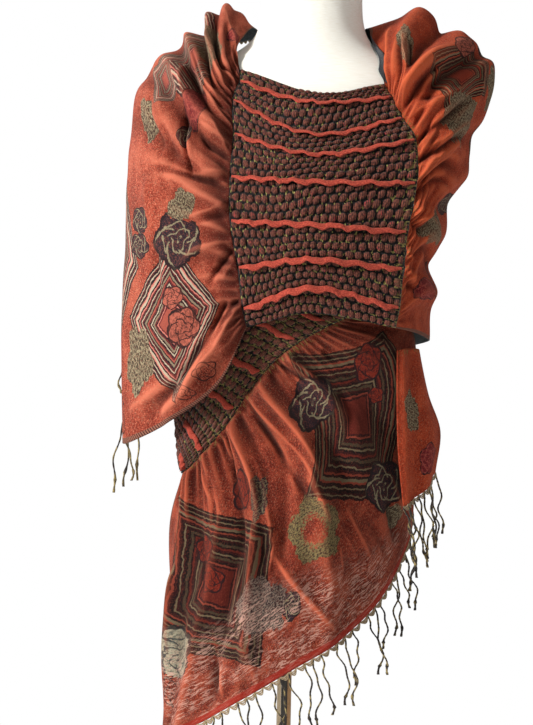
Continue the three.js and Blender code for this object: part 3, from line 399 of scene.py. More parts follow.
def face_grid(across, along, turned):
    """The quads of a grid whose points run across first."""
    i, j = np.meshgrid(np.arange(across), np.arange(along), indexing="xy")
    first = (j * (across + 1) + i).ravel()
    quads = np.stack([first, first + 1, first + across + 2, first + across + 1], 1)
    return quads[:, ::-1] if turned else quads


def tube_faces(rings, sides, turned=False):
    """The quads of a tube and its two end faces."""
    faces = []
    for k in range(rings - 1):
        for i in range(sides):
            a, b = k * sides + i, k * sides + (i + 1) % sides
            faces.append((a, a + sides, b + sides, b) if turned else (a, b, b + sides, a + sides))
    start, end = tuple(range(sides)), tuple(range((rings - 1) * sides, rings * sides))
    return faces + ([start, end[::-1]] if turned else [start[::-1], end])


def new_mesh(name, points, faces, materials, smooth=True):
    """A mesh object from points in millimetres."""
    mesh = bpy.data.meshes.new(name)
    mesh.from_pydata((np.asarray(points) * MM).tolist(), [], [list(map(int, f)) for f in faces])
    mesh.validate()
    for each in materials:
        mesh.materials.append(each)
    if smooth:
        mesh.polygons.foreach_set("use_smooth", np.ones(len(mesh.polygons), bool))
    piece = bpy.data.objects.new(name, mesh)
    bpy.context.scene.collection.objects.link(piece)
    return piece


def set_values(piece, name, values, domain="POINT"):
    """Keeps three numbers for each point or face corner, for the material to read."""
    data = piece.data.attributes.new(name, "FLOAT_VECTOR", domain).data
    data.foreach_set("vector", np.ascontiguousarray(values, np.float32).ravel())


def add_shell(piece, thickness=SHELL, offset=-1, inner=0, rim=0):
    """Gives a piece of cloth its thickness. inner and rim: which material its reverse and its rim have."""
    shell = piece.modifiers.new("cloth", "SOLIDIFY")
    shell.thickness, shell.offset = thickness * MM, offset
    shell.material_offset, shell.material_offset_rim = inner, rim


def motif_frames(flat, faces, motifs, reach):
    """For each face corner, its place in the frame of the motif that its face is in, and the motif's kind."""
    centres = flat[faces].mean(1)
    best = np.full(len(faces), np.inf)
    which = np.full(len(faces), -1)
    frames = []
    for n, (kind, a, b, ua, ub, va, vb) in enumerate(motifs):
        area = ua * vb - ub * va

        def place(p, a=a, b=b, ua=ua, ub=ub, va=va, vb=vb, area=area):
            x, y = p[..., 0] - a, p[..., 1] - b
            return np.stack([(vb * x - va * y) / area, (ua * y - ub * x) / area], -1)

        frames.append((kind, place))
        size = np.abs(place(centres)).max(1)
        nearer = (size < best) & (size < reach)
        best[nearer], which[nearer] = size[nearer], n
    values = np.zeros((len(faces), 4, 3), np.float32)
    for n, (kind, place) in enumerate(frames):
        mine = which == n
        values[mine, :, :2] = place(flat[faces[mine]])
        values[mine, :, 2] = kind
    return values.reshape(-1, 3)


FOLD_SHADE_SIZES = [(7, 2.6), (18, 5.5)]  # reach across a hollow, and the depth at which its painted shade is darkest and a ridge's painted highlight strongest
# reach round a ridge's tip for its painted highlight
TIP_SIZE = 3.2
RING_REACH, FLOWER_REACH = 1.25, 1.3  # how far out of its half axes a motif is laid, for its rough outline
NO_SELVEDGE = 50.0


def mean_around(height, weights):
    """The weighted mean of a grid of heights over each point's neighbours along the first axis."""
    reach = len(weights) // 2
    padded = np.pad(height, ((reach, reach), (0, 0)), "edge")
    return sum(w * padded[k:k + len(height)] for k, w in enumerate(weights)) / weights.sum()


def fold_light_and_shade(height, pitch):
    """How much painted shade each point of a grid of heights gets for lying below its surroundings, and how
    much painted highlight for lying above them and for being the tip of a ridge, all as shares."""
    below, above = np.zeros_like(height), np.zeros_like(height)
    for size, depth in FOLD_SHADE_SIZES:
        around = mean_around(height, np.hanning(2 * max(2, round(size / pitch)) + 3)[1:-1])
        below = np.maximum(below, np.clip((around - height - 0.2) / depth, 0, 1) * 0.85)
        above = np.maximum(above, np.clip((height - around - 0.5) / depth, 0, 1) * 0.5)
    around = mean_around(height, np.ones(2 * max(2, round(TIP_SIZE / pitch)) + 1))
    tip_highlight = np.clip((height - around - 0.12) / 0.7, 0, 1)
    return np.stack([below, above, tip_highlight], -1)


def add_cloth(name, node, surface, across, along, materials, share=(0, 1), rings=(), flowers=(),
              selvedge=True):
    """A stretch of cloth as a fine shell. across is along its length s, and along is over its width t."""
    s, t = grid(across, along, share)
    faces = face_grid(across, along, surface.outward < 0)
    piece = new_mesh(name, surface.outer(s, t), faces, materials)
    flat = np.stack([s * surface.size[0], t * surface.size[1]], 1)
    edge = np.minimum(t, 1 - t) * surface.size[1] if selvedge else np.full(len(t), NO_SELVEDGE)
    set_values(piece, "flat", np.column_stack([flat, edge]))
    height = surface.height(s, t).reshape(along + 1, across + 1)
    # painted shade for the folds' hollows and painted highlights for their ridges and tips, for the material
    set_values(piece, "relief", fold_light_and_shade(height, surface.size[1] / along))
    set_values(piece, "rings", motif_frames(flat, faces, rings, RING_REACH), "CORNER")
    set_values(piece, "flower", motif_frames(flat, faces, flowers, FLOWER_REACH), "CORNER")
    add_shell(piece, inner=1, rim=2 * selvedge)
    finish_piece(piece, "cloth", node)
    return piece


def add_turned_edge(name, surface, reach, turn, material):
    """The near selvedge of a cloth, turned so that its reverse shows. turn: how far its free edge moves."""
    steps, ribs = 60, 6
    k, c = grid(steps, ribs)
    s, near = 0.01 + reach * k, np.zeros_like(k)
    width = smooth_step(0, 0.2, k) * (1 - smooth_step(0.6, 1, k)) * (1 + 0.12 * np.sin(11 * k + 1))
    shift = np.array(turn)[None] * (c * width)[:, None]
    shift[:, 1] -= 2.0 * np.sin(math.pi * c) * width
    points = rest_on_form(surface.outer(s, near) - surface.normal(s, near) * 0.5 + shift, SKIN_GAP + CLOTH)
    piece = new_mesh(name, points, face_grid(steps, ribs, False), [material])
    set_values(piece, "flat", np.stack([s * surface.size[0], c * 8, c], 1))
    add_shell(piece, offset=0)
    finish_piece(piece, "cloth")
    return piece


def finish_piece(piece, slot, *nodes):
    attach(piece, "root")
    if nodes:
        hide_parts(*nodes)


BUBBLE_HEIGHT = 3.6
BUBBLE_TABLE = (97, 89)  # rows and columns of bubbles that differ before their sizes come round again
BUBBLE_SEED = 5


def bubble_relief(x, y, slant):
    """Height from 0 to 1 of smocking bubbles in a brick layout, at x and y counted in bubbles. slant, from
    0 to 1, draws them out into sloping strips."""
    table = np.random.default_rng(BUBBLE_SEED).uniform(0, 1, (*BUBBLE_TABLE, 4))
    x = x + 0.12 * np.sin(1.1 * y + 0.5 * x) + 0.08 * np.sin(0.9 * x + 2.3)
    y = y + 0.10 * np.sin(0.7 * x + 1.3) + 0.11 * x * slant
    level = np.floor(y).astype(int)
    x = x + 0.5 * (level % 2)
    column = np.floor(x).astype(int)
    about = table[level % BUBBLE_TABLE[0], column % BUBBLE_TABLE[1]]
    shift = (about[..., :2] - 0.5) * 0.16
    u = (x - column - 0.5 + shift[..., 0]) * (2.02 + 0.22 * about[..., 2])
    v = (y - level - 0.5 + shift[..., 1] * 0.6) * (2.06 + 0.28 * about[..., 3])
    v = v + (0.24 * (about[..., 3] - 0.5) + 0.25 * slant) * u
    round_off = np.maximum(1 - np.abs(u) ** 2.3 - np.abs(v) ** 2.3, 0)
    return round_off ** 0.42 * (0.66 + 0.34 * about[..., 3])


def add_smocking(name, node, surface, across, along, columns, lines, levels, materials, slope=1.0):
    """A smocked band: a wall whose outer side stands up in bubbles. columns: bubbles across. lines: where
    over v its two edges and its frills' seams lie. levels: how many rows of bubbles come before each line."""
    u, v = grid(across, along)
    base = surface.base(u, v)
    out = surface.normal(u, v)
    y = np.interp(v, lines, levels)
    slant = smooth_step(0.25, 0.6, u) * smooth_step(0.02, 0.16, v) * (1 - smooth_step(0.55, 0.8, v))
    puff = bubble_relief(u * columns, y, slope * slant)
    near_line = np.min([np.abs(v - line) * surface.size[1] for line in lines], 0)
    puff *= smooth_step(0.0, 1.6, near_line)
    puff *= smooth_step(0, 0.02, u) * (1 - smooth_step(0.98, 1, u))
    points = rest_on_form(base, SKIN_GAP + CLOTH) + out * (puff * BUBBLE_HEIGHT)[:, None]
    piece = new_mesh(name, points, face_grid(across, along, surface.outward < 0), materials)
    set_values(piece, "flat", np.stack([u * surface.size[0], v * surface.size[1], puff], 1))
    add_shell(piece, inner=1)
    finish_piece(piece, "smocking", node)
    return piece


# a frill's seam above the band, its depth, how far its free edge falls and how far that swings
RUFFLE_LIFT, RUFFLE_DEEP, RUFFLE_DROOP, RUFFLE_SWING = 1.0, 7.0, 6.2, 1.7
RUFFLE_THICK, RUFFLE_CURL = 1.1, 1.35


def add_ruffle(name, node, surface, level, start, end, waves, seed, material, scale=1.0, steps=150):
    """A narrow frill, sewn to a band along a line at level, that stands out and falls over in waves."""
    ribs = 6
    k, c = grid(steps, ribs)
    f = start + (end - start) * k
    u, v = f, np.full_like(f, level)
    root = surface.base(u, v)
    out = surface.normal(u, v)
    down = unit(slopes(surface.base, u, v, 0.01)[1])
    turn = 2 * np.pi * waves * k + seed + np.sin(3 * f + seed)
    fine = np.sin(2.3 * turn + 1.3 * np.sin(5 * f + seed)) * (0.5 + 0.5 * np.sin(11 * f + 2 * seed))
    ends = smooth_step(0, 0.08, k) * (1 - smooth_step(0.92, 1, k))
    swing = RUFFLE_SWING * np.sin(turn) + 0.8 * fine
    size = 0.4 + 0.6 * ends
    deep = RUFFLE_DEEP * size * (0.84 + 0.22 * np.sin(11 * f + seed) + 0.08 * np.sin(turn + 1.2))
    lift = RUFFLE_LIFT + (scale * deep - RUFFLE_LIFT) * np.sin(c * RUFFLE_CURL) / math.sin(RUFFLE_CURL)
    drop = scale * (RUFFLE_DROOP * size * c * c + swing * ends * (0.45 + 0.55 * c))
    points = root + out * lift[:, None] + down * drop[:, None]
    piece = new_mesh(name, points, face_grid(steps, ribs, surface.outward > 0), [material])
    set_values(piece, "flat", np.stack([f * surface.size[0], c * RUFFLE_DEEP, c], 1))
    add_shell(piece, RUFFLE_THICK, offset=0)
    finish_piece(piece, "ruffle", node)
    return piece


# fringe

LOOP_DEEP, LOOP_THREAD, STRIP_GAP, STRIP_THICK = 5.4, 0.8, 0.6, 2.0
STRAND_RINGS, STRAND_SIDES, STRAND_RADIUS = 38, 8, 1.08
KNOT_AT = 0.86  # share of a strand's length
TWIST = 0.75  # radians to a millimetre


def strand_mesh(root, down, out, pull, n, length, lean, splay, seed):
    """Points, faces and plies of one twisted strand that ends in a knot and a short tuft."""
    f = np.linspace(0, 1, STRAND_RINGS)
    sway = math.sin(1.9 * n + seed) * 0.09
    fall = np.minimum(1, 2 * f)
    centre = root + down * (length * splay * fall)[:, None]
    centre += out * (length * (lean + 0.03 * (n % 3)) * np.minimum(1, 1.6 * f))[:, None]
    kink = 2.6 * np.sin(f * (7 + 2.5 * math.sin(3 * n)) + 2 * n) + 1.2 * np.sin(f * 17 + 5 * n)
    centre += pull * smooth_step(0, KNOT_AT, f)[:, None]
    centre[:, 0] += length * sway * f + kink * smooth_step(0, 0.2, f)
    centre[:, 1] += 1.4 * np.sin(f * 9 + 4 * n) * smooth_step(0, 0.2, f)
    centre[:, 2] -= length * (f - splay * fall * max(0.0, -down[2]))
    centre[1:] = rest_on_form(centre[1:], SKIN_GAP + 1)
    knot = np.exp(-((f - KNOT_AT) / 0.028) ** 2)
    radius = STRAND_RADIUS + 1.1 * knot + 0.5 * smooth_step(0.9, 1, f)
    angle = np.arange(STRAND_SIDES) * 2 * math.pi / STRAND_SIDES
    twist = f[:, None] * length * TWIST + n
    lobes = 0.74 + 0.3 * np.abs(np.cos(angle[None] - twist))
    around = radius[:, None] * lobes
    rings = centre[:, None] + np.stack([
        around * np.cos(angle), around * np.sin(angle), np.zeros_like(around)], -1)
    ply = (np.cos(angle[None] - twist) > 0).astype(float).ravel()
    return rings.reshape(-1, 3), tube_faces(STRAND_RINGS, STRAND_SIDES, True), ply


def loop_mesh(start, end, down, out, deep):
    """A small loop of edging thread that hangs between two strands."""
    sides, rings = 6, 9
    f = np.linspace(0, 1, rings)[:, None]
    centre = start + (end - start) * f + down * (deep * np.sin(math.pi * f)) + out * 0.4
    angle = np.arange(sides) * 2 * math.pi / sides
    across = unit(np.cross(end - start, out)[None])[0]
    c, s = np.cos(angle)[None, :, None], np.sin(angle)[None, :, None]
    points = centre[:, None] + LOOP_THREAD * (c * out + s * across)
    return points.reshape(-1, 3), tube_faces(rings, sides), np.tile(np.arange(sides) % 2, rings)


def add_fringe(name, node, surface, material, count, first, last, skip, drop=60.0, lean=0.03, splay=0.25,
               seed=0.0, spread=lambda t: t, tied=False, bunched=0):
    """A fringe at a surface's far edge: strands at shares of the edge, with loops of thread between them.
    tied: every second pair of strands meets at one knot. bunched: how many of the last are drawn together."""
    t = spread(np.arange(first, last + 1) / count)
    ones = np.ones_like(t)
    out = normal_of(surface.outer, ones, t, surface.outward)
    down = unit(np.cross(slopes(surface.outer, ones, t, 0.01)[1], out)) * surface.outward
    at = surface.outer(ones, t) - out * (CLOTH + STRIP_THICK) / 2
    pieces = []
    for k, n in enumerate(range(first, last + 1)):
        if not skip(n):
            root = at[k] + down[k] * (STRIP_GAP + 0.6) + out[k] * STRIP_THICK / 2
            pull, pair = np.zeros(3), n
            if tied and n % 4 == 1 and k + 1 < len(t):
                pull = (at[k + 1] - at[k]) / 2
            elif tied and n % 4 == 2 and k:
                pull, pair = (at[k - 1] - at[k]) / 2, n - 1
            length = drop * (0.8 + 0.35 * abs(math.sin(2.3 * pair + seed)))
            if last - n < bunched:
                pull = (at[-2] - at[k] + np.array([2.0 * (n % 2), 0, 0])) * np.array([1, 1, 0])
                length = drop * (1.05 + 0.1 * (n % 3)) + max(0.0, at[k][2] - at[-1][2])
            pieces.append(strand_mesh(root, down[k], out[k], pull, n, length, lean, splay, seed))
        if k + 1 < len(t):
            shift = down[k] * STRIP_GAP * 0.4 + out[k] * STRIP_THICK / 2
            for deep in (LOOP_DEEP, LOOP_DEEP * 0.66, LOOP_DEEP * 0.3):
                ring, ring_faces, ply = loop_mesh(at[k] + shift, at[k + 1] + shift, down[k], out[k], deep)
                pieces.append((ring, ring_faces, ply + 2))
    faces, total = [], 0
    for p, own_faces, _ in pieces:
        faces += [tuple(i + total for i in face) for face in own_faces]
        total += len(p)
    points = np.concatenate([p for p, _, _ in pieces])
    plies = np.concatenate([np.maximum(ply, 0.5) if bunched else ply for _, _, ply in pieces])
    piece = new_mesh(name, points, faces, [material])
    set_values(piece, "flat", np.stack([plies, points[:, 2], points[:, 0]], 1))
    finish_piece(piece, "fringe", node)
    return piece


# the form and its stand

def lathe(name, profile, centre, sides, material):
    """A turned piece: profile is (radius, height) pairs from the axis back to the axis."""
    angle = np.arange(sides) * 2 * math.pi / sides
    points, rings = [], []
    for radius, z in profile:
        rings.append(len(points))
        if radius == 0:
            points.append((centre[0], centre[1], z))
            continue
        points += [(centre[0] + radius * math.cos(a), centre[1] + radius * math.sin(a), z) for a in angle]
    faces = []
    for (r0, _), (r1, _), a0, a1 in zip(profile, profile[1:], rings, rings[1:]):
        for i in range(sides):
            j = (i + 1) % sides
            if r0 == 0:
                faces.append((a0, a1 + j, a1 + i))
            elif r1 == 0:
                faces.append((a0 + i, a0 + j, a1))
            else:
                faces.append((a0 + i, a0 + j, a1 + j, a1 + i))
    return new_mesh(name, points, faces, [material])


FORM_MEAN_RADIUS = 110  # turns an angle into millimetres round the form, for the linen's threads


def add_form(material):
    sides, rings = 112, 150
    angle = np.arange(sides) * 2 * math.pi / sides
    c, s = np.cos(angle), np.sin(angle)
    scale = (np.abs(c) ** FORM_SQUARENESS + np.abs(s) ** FORM_SQUARENESS) ** (-1 / FORM_SQUARENESS)
    z = np.linspace(FORM_BOTTOM, FORM_TOP, rings)
    a, b, cx, cy = form_section(z)
    points = np.stack([cx[:, None] + a[:, None] * c * scale, cy[:, None] + b[:, None] * s * scale,
                       np.repeat(z[:, None], sides, 1)], -1).reshape(-1, 3)
    piece = new_mesh("dress_form", points, tube_faces(rings, sides), [material])
    angle = np.tile(angle, rings)
    set_values(piece, "flat", np.stack([angle * FORM_MEAN_RADIUS, points[:, 2], angle], 1))
    finish_piece(piece, "linen", "form_torso")


# materials

class Value:
    """A shader number: a constant or a node's output, with sums written as plain arithmetic."""

    def __init__(self, tree, source):
        self.tree, self.source = tree, source

    def math(self, operation, *others):
        node = self.tree.nodes.new("ShaderNodeMath")
        node.operation = operation
        for socket, each in zip(node.inputs, (self, *others)):
            self.tree.feed(socket, each)
        return Value(self.tree, node.outputs[0])

    def __add__(self, other):
        return self.math("ADD", other)

    def __sub__(self, other):
        return self.math("SUBTRACT", other)

    def __rsub__(self, other):
        return Value(self.tree, other).math("SUBTRACT", self)

    def __mul__(self, other):
        return self.math("MULTIPLY", other)

    def __truediv__(self, other):
        return self.math("DIVIDE", other)

    def __abs__(self):
        return self.math("ABSOLUTE")

    __radd__, __rmul__ = __add__, __mul__

    def sin(self):
        return self.math("SINE")

    def wave(self, pitch):
        return (self * (2 * math.pi / pitch)).sin()

    def most(self, other):
        return self.math("MAXIMUM", other)

    def least(self, other):
        return self.math("MINIMUM", other)

    def over(self, other):
        return self.math("GREATER_THAN", other)

    def under(self, other):
        return self.math("LESS_THAN", other)

    def rise(self, low, high):
        """0 below low, 1 above high and smooth between."""
        node = self.tree.nodes.new("ShaderNodeMapRange")
        node.interpolation_type = "SMOOTHSTEP"
        self.tree.feed(node.inputs["Value"], self)
        node.inputs["From Min"].default_value, node.inputs["From Max"].default_value = low, high
        return Value(self.tree, node.outputs["Result"])


class Tree:
    """One material's node tree."""

    def __init__(self, name):
        self.material = bpy.data.materials.new(name)
        self.material.use_nodes = True
        self.nodes = self.material.node_tree.nodes
        self.links = self.material.node_tree.links
        self.shader = self.nodes["Principled BSDF"]

    def feed(self, socket, value):
        if isinstance(value, Value):
            value = value.source
        if isinstance(value, bpy.types.NodeSocket):
            self.links.new(value, socket)
        elif isinstance(value, tuple) and len(value) == 3:
            socket.default_value = (*value, 1.0)
        else:
            socket.default_value = value

    def attribute(self, name):
        """The three numbers that set_values kept."""
        node = self.nodes.new("ShaderNodeAttribute")
        node.attribute_name = name
        return self.parts(node.outputs["Vector"])

    def parts(self, vector):
        node = self.nodes.new("ShaderNodeSeparateXYZ")
        self.links.new(vector, node.inputs[0])
        return [Value(self, node.outputs[k]) for k in range(3)]

    def grain(self, x, y, z=0.0, detail=2.0, rough=0.6):
        """Noise at a place that is already scaled. On cloth, z tells one grain from the next."""
        place = self.nodes.new("ShaderNodeCombineXYZ")
        for socket, each in zip(place.inputs, (x, y, z)):
            self.feed(socket, each)
        node = self.nodes.new("ShaderNodeTexNoise")
        self.links.new(place.outputs[0], node.inputs["Vector"])
        node.inputs["Scale"].default_value = 1.0
        node.inputs["Detail"].default_value = detail
        node.inputs["Roughness"].default_value = rough
        return Value(self, node.outputs["Fac"])

    def streaks(self, fineness, detail=2.0, rough=0.6):
        """Noise over a piece's own metres, with how fine it is along x, y and z."""
        place = self.parts(self.nodes.new("ShaderNodeTexCoord").outputs["Object"])
        return self.grain(*(part * fine for part, fine in zip(place, fineness)), detail=detail, rough=rough)

    def ramp(self, value, stops, constant=False):
        node = self.nodes.new("ShaderNodeValToRGB")
        ramp = node.color_ramp
        ramp.interpolation = "CONSTANT" if constant else "LINEAR"
        while len(ramp.elements) < len(stops):
            ramp.elements.new(1.0)
        for element, (position, colour) in zip(ramp.elements, stops):
            element.position, element.color = position, (*colour, 1.0)
        self.feed(node.inputs[0], value)
        return node.outputs["Color"]

    def mix(self, share, first, second):
        node = self.nodes.new("ShaderNodeMix")
        node.data_type = "RGBA"
        self.feed(node.inputs[0], share)
        self.feed(node.inputs[6], first)
        self.feed(node.inputs[7], second)
        return node.outputs[2]

    def bump(self, height, distance, strength):
        node = self.nodes.new("ShaderNodeBump")
        node.inputs["Strength"].default_value = strength
        node.inputs["Distance"].default_value = distance
        self.feed(node.inputs["Height"], height)
        self.links.new(node.outputs["Normal"], self.shader.inputs["Normal"])

    def set(self, colour, roughness, **others):
        self.feed(self.shader.inputs["Base Color"], colour)
        self.feed(self.shader.inputs["Roughness"], roughness)
        for name, value in others.items():
            self.feed(self.shader.inputs[name.replace("_", " ")], value)
        return self.material


def srgb(r, g, b):
    """An 8-bit screen colour as the linear colour of the same look."""
    return tuple(c / 255 / 12.92 if c <= 10 else ((c / 255 + 0.055) / 1.055) ** 2.4 for c in (r, g, b))


def srgbs(*colours):
    return [srgb(*colour) for colour in colours]


BLACK = (0.0, 0.0, 0.0)
INK, OLIVE, CREAM = srgbs((20, 17, 20), (112, 102, 76), (168, 150, 120))
MAROON, NAVY, TEAL, BROWN = srgbs((78, 22, 22), (20, 24, 34), (20, 40, 48), (72, 42, 34))
SHEEN = srgb(255, 190, 160)
THREAD_PITCH, STITCH_PITCH = 1.3, 3.0
SELVEDGE_WIDE = 3.2
# the open weave starts later on the near side of OPEN_NEAR and comes in over OPEN_FADE; HEM_LINE is red
OPEN_NEAR, OPEN_SLANT, OPEN_FADE, HEM_LINE = 244, 0.36, 45, 321
DASHES_FROM = 172.0  # the first band's far edge, which has olive stitches

# a stretch's colours: deep, middle and light, then its squares' ink, pale, olive, maroon, rust and blush
# these are one jacquard's colours with light painted in: the arm's paler as painted light, the side's and the
# fan's darker as painted shade
LIT_ARM_TONES = srgbs((78, 22, 13), (138, 50, 32), (206, 112, 84))
LIT_ARM_SQUARE = srgbs((17, 16, 22), (172, 158, 134), (124, 112, 90), (88, 26, 30), (150, 72, 58), (190, 112, 98))
SHADED_SIDE_TONES = srgbs((96, 24, 10), (158, 52, 25), (206, 94, 56))
SHADED_SIDE_SQUARE = srgbs((11, 9, 9), (132, 114, 86), (86, 78, 56), (74, 20, 16), (140, 46, 26), (168, 70, 44))
SHADED_FAN_TONES = srgbs((56, 13, 8), (114, 35, 21), (192, 92, 63))
SHADED_FAN_SQUARE = srgbs((10, 8, 9), (98, 86, 64), (58, 50, 36), (40, 11, 12), (86, 26, 18), (118, 50, 36))

# a nested square's outlines from its edge inwards: width as a share, and which of its colours
RING_ROWS = [
    (0.04, 0), (0.018, 1), (0.02, 3), (0.04, 0), (0.02, 1), (0.042, 0), (0.026, 5), (0.04, 1), (0.028, 0),
    (0.026, 5), (0.026, 3), (0.028, 0), (0.018, 1), (0.024, 3), (0.034, 0), (0.036, 2), (0.026, 0),
    (0.026, 4), (0.026, 3), (0.028, 0), (0.024, 1), (0.028, 0), (0.036, 2), (0.026, 3), (0.03, 0),
    (0.026, 5), (0.03, 3), (0.218, 4)]

# a motif's kinds: a square, then the flowers, of which those from LEAF on are leafy
SQUARE = 1
ROSE, OUTLINE, RED, WINE, BLUSH, PALE, LEAF, STEM, WREATH, GREY = range(1, 11)
KIND_STEPS = 11
# each kind's colours: its petals' and its veins'
KIND_COLOURS = {
    ROSE: (NAVY, srgb(146, 134, 104)), OUTLINE: (srgb(186, 108, 84), INK), RED: (srgb(112, 30, 17), INK),
    WINE: (srgb(108, 20, 30), srgb(168, 76, 66)), BLUSH: (srgb(172, 90, 72), INK),
    PALE: (srgb(158, 154, 130), TEAL), LEAF: (srgb(78, 72, 54), srgb(154, 140, 110)), STEM: (NAVY, OLIVE),
    WREATH: (srgb(92, 84, 56), srgb(128, 112, 72)), GREY: (srgb(60, 52, 52), srgb(142, 124, 108))}


def by_kind(tree, kind, which):
    """The petals' colour, for which = 0, or the veins' colour of a flower's kind."""
    stops = [(0.0, BLACK)] + [((k - 0.5) / KIND_STEPS, both[which]) for k, both in KIND_COLOURS.items()]
    return tree.ramp(kind / KIND_STEPS, stops, constant=True)


def ring_stops(shades):
    """The outlines as steps of a ramp, from the square's middle outwards."""
    stops, at = [], 1.0
    for width, which in RING_ROWS:
        at -= width
        stops.insert(0, (max(at, 0.0), shades[which]))
    return stops


def cloth_material(name, shades, square, dashes=False, open_from=None, near=0.0):
    """Jacquard: heathered threads, nested squares and flowers, with painted shade in the folds' hollows and
    painted
    highlights on their crests. dashes: olive stitches at the gathered edge. open_from: how far along the
    weave
    opens and shows pale. near: how much painted shade darkens it close to the gathers."""
    tree = Tree(name)
    a, b, edge = tree.attribute("flat")
    deep, middle, light = shades
    thread = tree.grain(a * 0.3, b * 1.5)
    cross = tree.grain(a * 1.4, b * 0.32, 7.0)
    cloud = tree.grain(a * 0.035, b * 0.035, detail=3.0)
    heather = (thread + cross) * 0.5
    colour = tree.ramp(heather, [(0.40, deep), (0.475, middle), (0.525, middle), (0.61, light)])
    colour = tree.mix(cloud.rise(0.45, 0.68) * 0.3, colour, light)
    colour = tree.mix((1 - cloud.rise(0.36, 0.52)) * 0.3, colour, deep)
    # painted light from the folds: shade in the hollows, highlights on the crests and their tips
    hollow_shade, crest_highlight, tip_highlight = tree.attribute("relief")
    colour = tree.mix((crest_highlight + tip_highlight * 0.6).least(0.8), colour, light)
    # painted shade close to the gathers
    colour = tree.mix((1 - a.rise(5, 65)) * near, colour, deep)
    fleck = tree.grain(a * 0.5, b * 0.7, 3.0, 1.0, 0.5)
    colour = tree.mix(fleck.rise(0.58, 0.70) * 0.25, colour, CREAM)
    weave = a.wave(THREAD_PITCH) * b.wave(THREAD_PITCH)
    wobble = tree.grain(a * 0.07, b * 0.07, 2.0, 4.0, 0.65) - 0.5
    u, v, kind = tree.attribute("rings")
    far = abs(u).most(abs(v)) + wobble * 0.11
    rings = tree.ramp(far, ring_stops(square), constant=True)
    rings = tree.mix(heather.over(0.55) * 0.14, rings, light)
    colour = tree.mix(far.under(0.995) * kind.over(0.5), colour, rings)
    colour = add_flowers(tree, colour, a, b, heather, light)
    if open_from:
        streak = tree.grain((a + wobble * 12) * 0.62, b * 0.085, 5.0, 3.0)
        patch = tree.grain(a * 0.03, b * 0.02, 6.0, rough=0.5).rise(0.34, 0.52)
        inner = a - (OPEN_NEAR - b).most(0.0) * OPEN_SLANT
        opened = streak.rise(0.50, 0.58) * inner.rise(open_from, open_from + OPEN_FADE) * patch
        colour = tree.mix(opened * 0.6, colour, srgb(220, 172, 152))
        colour = tree.mix(a.over(HEM_LINE) * 0.75, colour, srgb(156, 36, 24))
    if dashes:
        dash = tree.grain(a * 0.1, b * 0.45, 8.0, 1.0, 0.5).over(0.58)
        colour = tree.mix(dash * (1 - a.rise(3.0, 10.0)) * 0.7, colour, srgb(118, 108, 56))
    stitch = (a + b).wave(STITCH_PITCH)
    colour = tree.mix(edge.under(SELVEDGE_WIDE), colour, tree.mix(stitch.over(0.1), BROWN, srgb(140, 92, 74)))
    colour = tree.mix(weave.rise(-1, 1) * 0.12, colour, deep)
    # painted shade in the folds' hollows, then painted highlights on the crests and their tips
    colour = tree.mix(hollow_shade, colour, tree.mix(0.7, deep, BLACK))
    colour = tree.mix(crest_highlight * 0.15 + tip_highlight * 0.2, colour, light)
    tree.bump(weave * 0.3 + heather * 1.6, 0.0008, 0.7)
    return tree.set(colour, 0.88, Sheen_Weight=0.08, Sheen_Roughness=0.5, Sheen_Tint=SHEEN,
                    Specular_IOR_Level=0.15)


def add_flowers(tree, colour, a, b, heather, light):
    u, v, kind = tree.attribute("flower")
    wobble = tree.grain(a * 0.16, b * 0.16, 11.0, 3.0) - 0.5
    leafy = kind.over(LEAF - 0.5)
    radius = (u * u + v * v).math("SQRT") + wobble * (0.22 + 0.3 * leafy)
    angle = v.math("ARCTAN2", u)
    petals = 0.80 + 0.16 * abs((angle * 2.5 + kind).sin())
    lobes = 0.72 + 0.22 * abs((angle * 2.5 + 0.6).sin())
    rim = petals * (1 - leafy) + lobes * leafy
    inside = radius.under(rim) * kind.over(0.5)
    turn = angle * 2.5 + kind
    spiral = abs((turn + radius * 5.0).sin()).under(0.2)
    whorl = abs((radius * 9.5 + turn.sin() * 1.3).sin()).under(0.28)
    veins = (whorl * radius.under(0.64)).most(spiral * radius.over(0.34))
    dark_edge = (rim - radius).under(0.10) * (1 - leafy)
    strokes = tree.grain(a * 0.55, b * 0.4, 4.0, 4.0, 0.75)
    veins = veins * (1 - leafy) + strokes.over(0.52) * leafy
    plain = kind.math("COMPARE", float(OUTLINE), 0.2)
    fill = tree.mix(plain, by_kind(tree, kind, 0), colour)
    fill = tree.mix(heather.over(0.54) * 0.25, fill, light)
    flower = tree.mix(veins * 0.85, fill, by_kind(tree, kind, 1))
    flower = tree.mix(dark_edge * 0.9, flower, INK)
    flower = tree.mix(strokes.under(0.47) * (0.45 + 0.3 * leafy) * (1 - plain), flower, INK)
    patches = tree.grain(a * 0.24, b * 0.24, 12.0, 3.0, 0.65).rise(0.50, 0.57)
    mottled = (1 - leafy) * (1 - plain) * kind.over(OUTLINE - 0.5)
    flower = tree.mix(patches * mottled * 0.45, flower, by_kind(tree, kind, 1))
    hole = kind.math("COMPARE", float(WREATH), 0.2) * (radius + strokes - 0.5).under(0.4)
    return tree.mix(inside * (1 - hole), colour, flower)


def reverse_material():
    tree = Tree("teal_reverse")
    a, b, _ = tree.attribute("flat")
    thread = tree.grain(a * 0.35, b * 2.6)
    colour = tree.ramp(thread, [(0.35, srgb(12, 26, 32)), (0.55, TEAL), (0.75, srgb(60, 74, 74))])
    weave = a.wave(THREAD_PITCH) * b.wave(THREAD_PITCH)
    tree.bump(weave * 0.35 + thread, 0.0006, 0.6)
    return tree.set(colour, 0.9, Sheen_Weight=0.2)


def selvedge_material():
    tree = Tree("brown_selvedge")
    a, b, _ = tree.attribute("flat")
    stitch = (a + b).wave(2.4)
    colour = tree.mix(stitch.over(0.0), BROWN, MAROON)
    tree.bump(stitch, 0.0004, 0.6)
    return tree.set(colour, 0.9, Sheen_Weight=0.2)


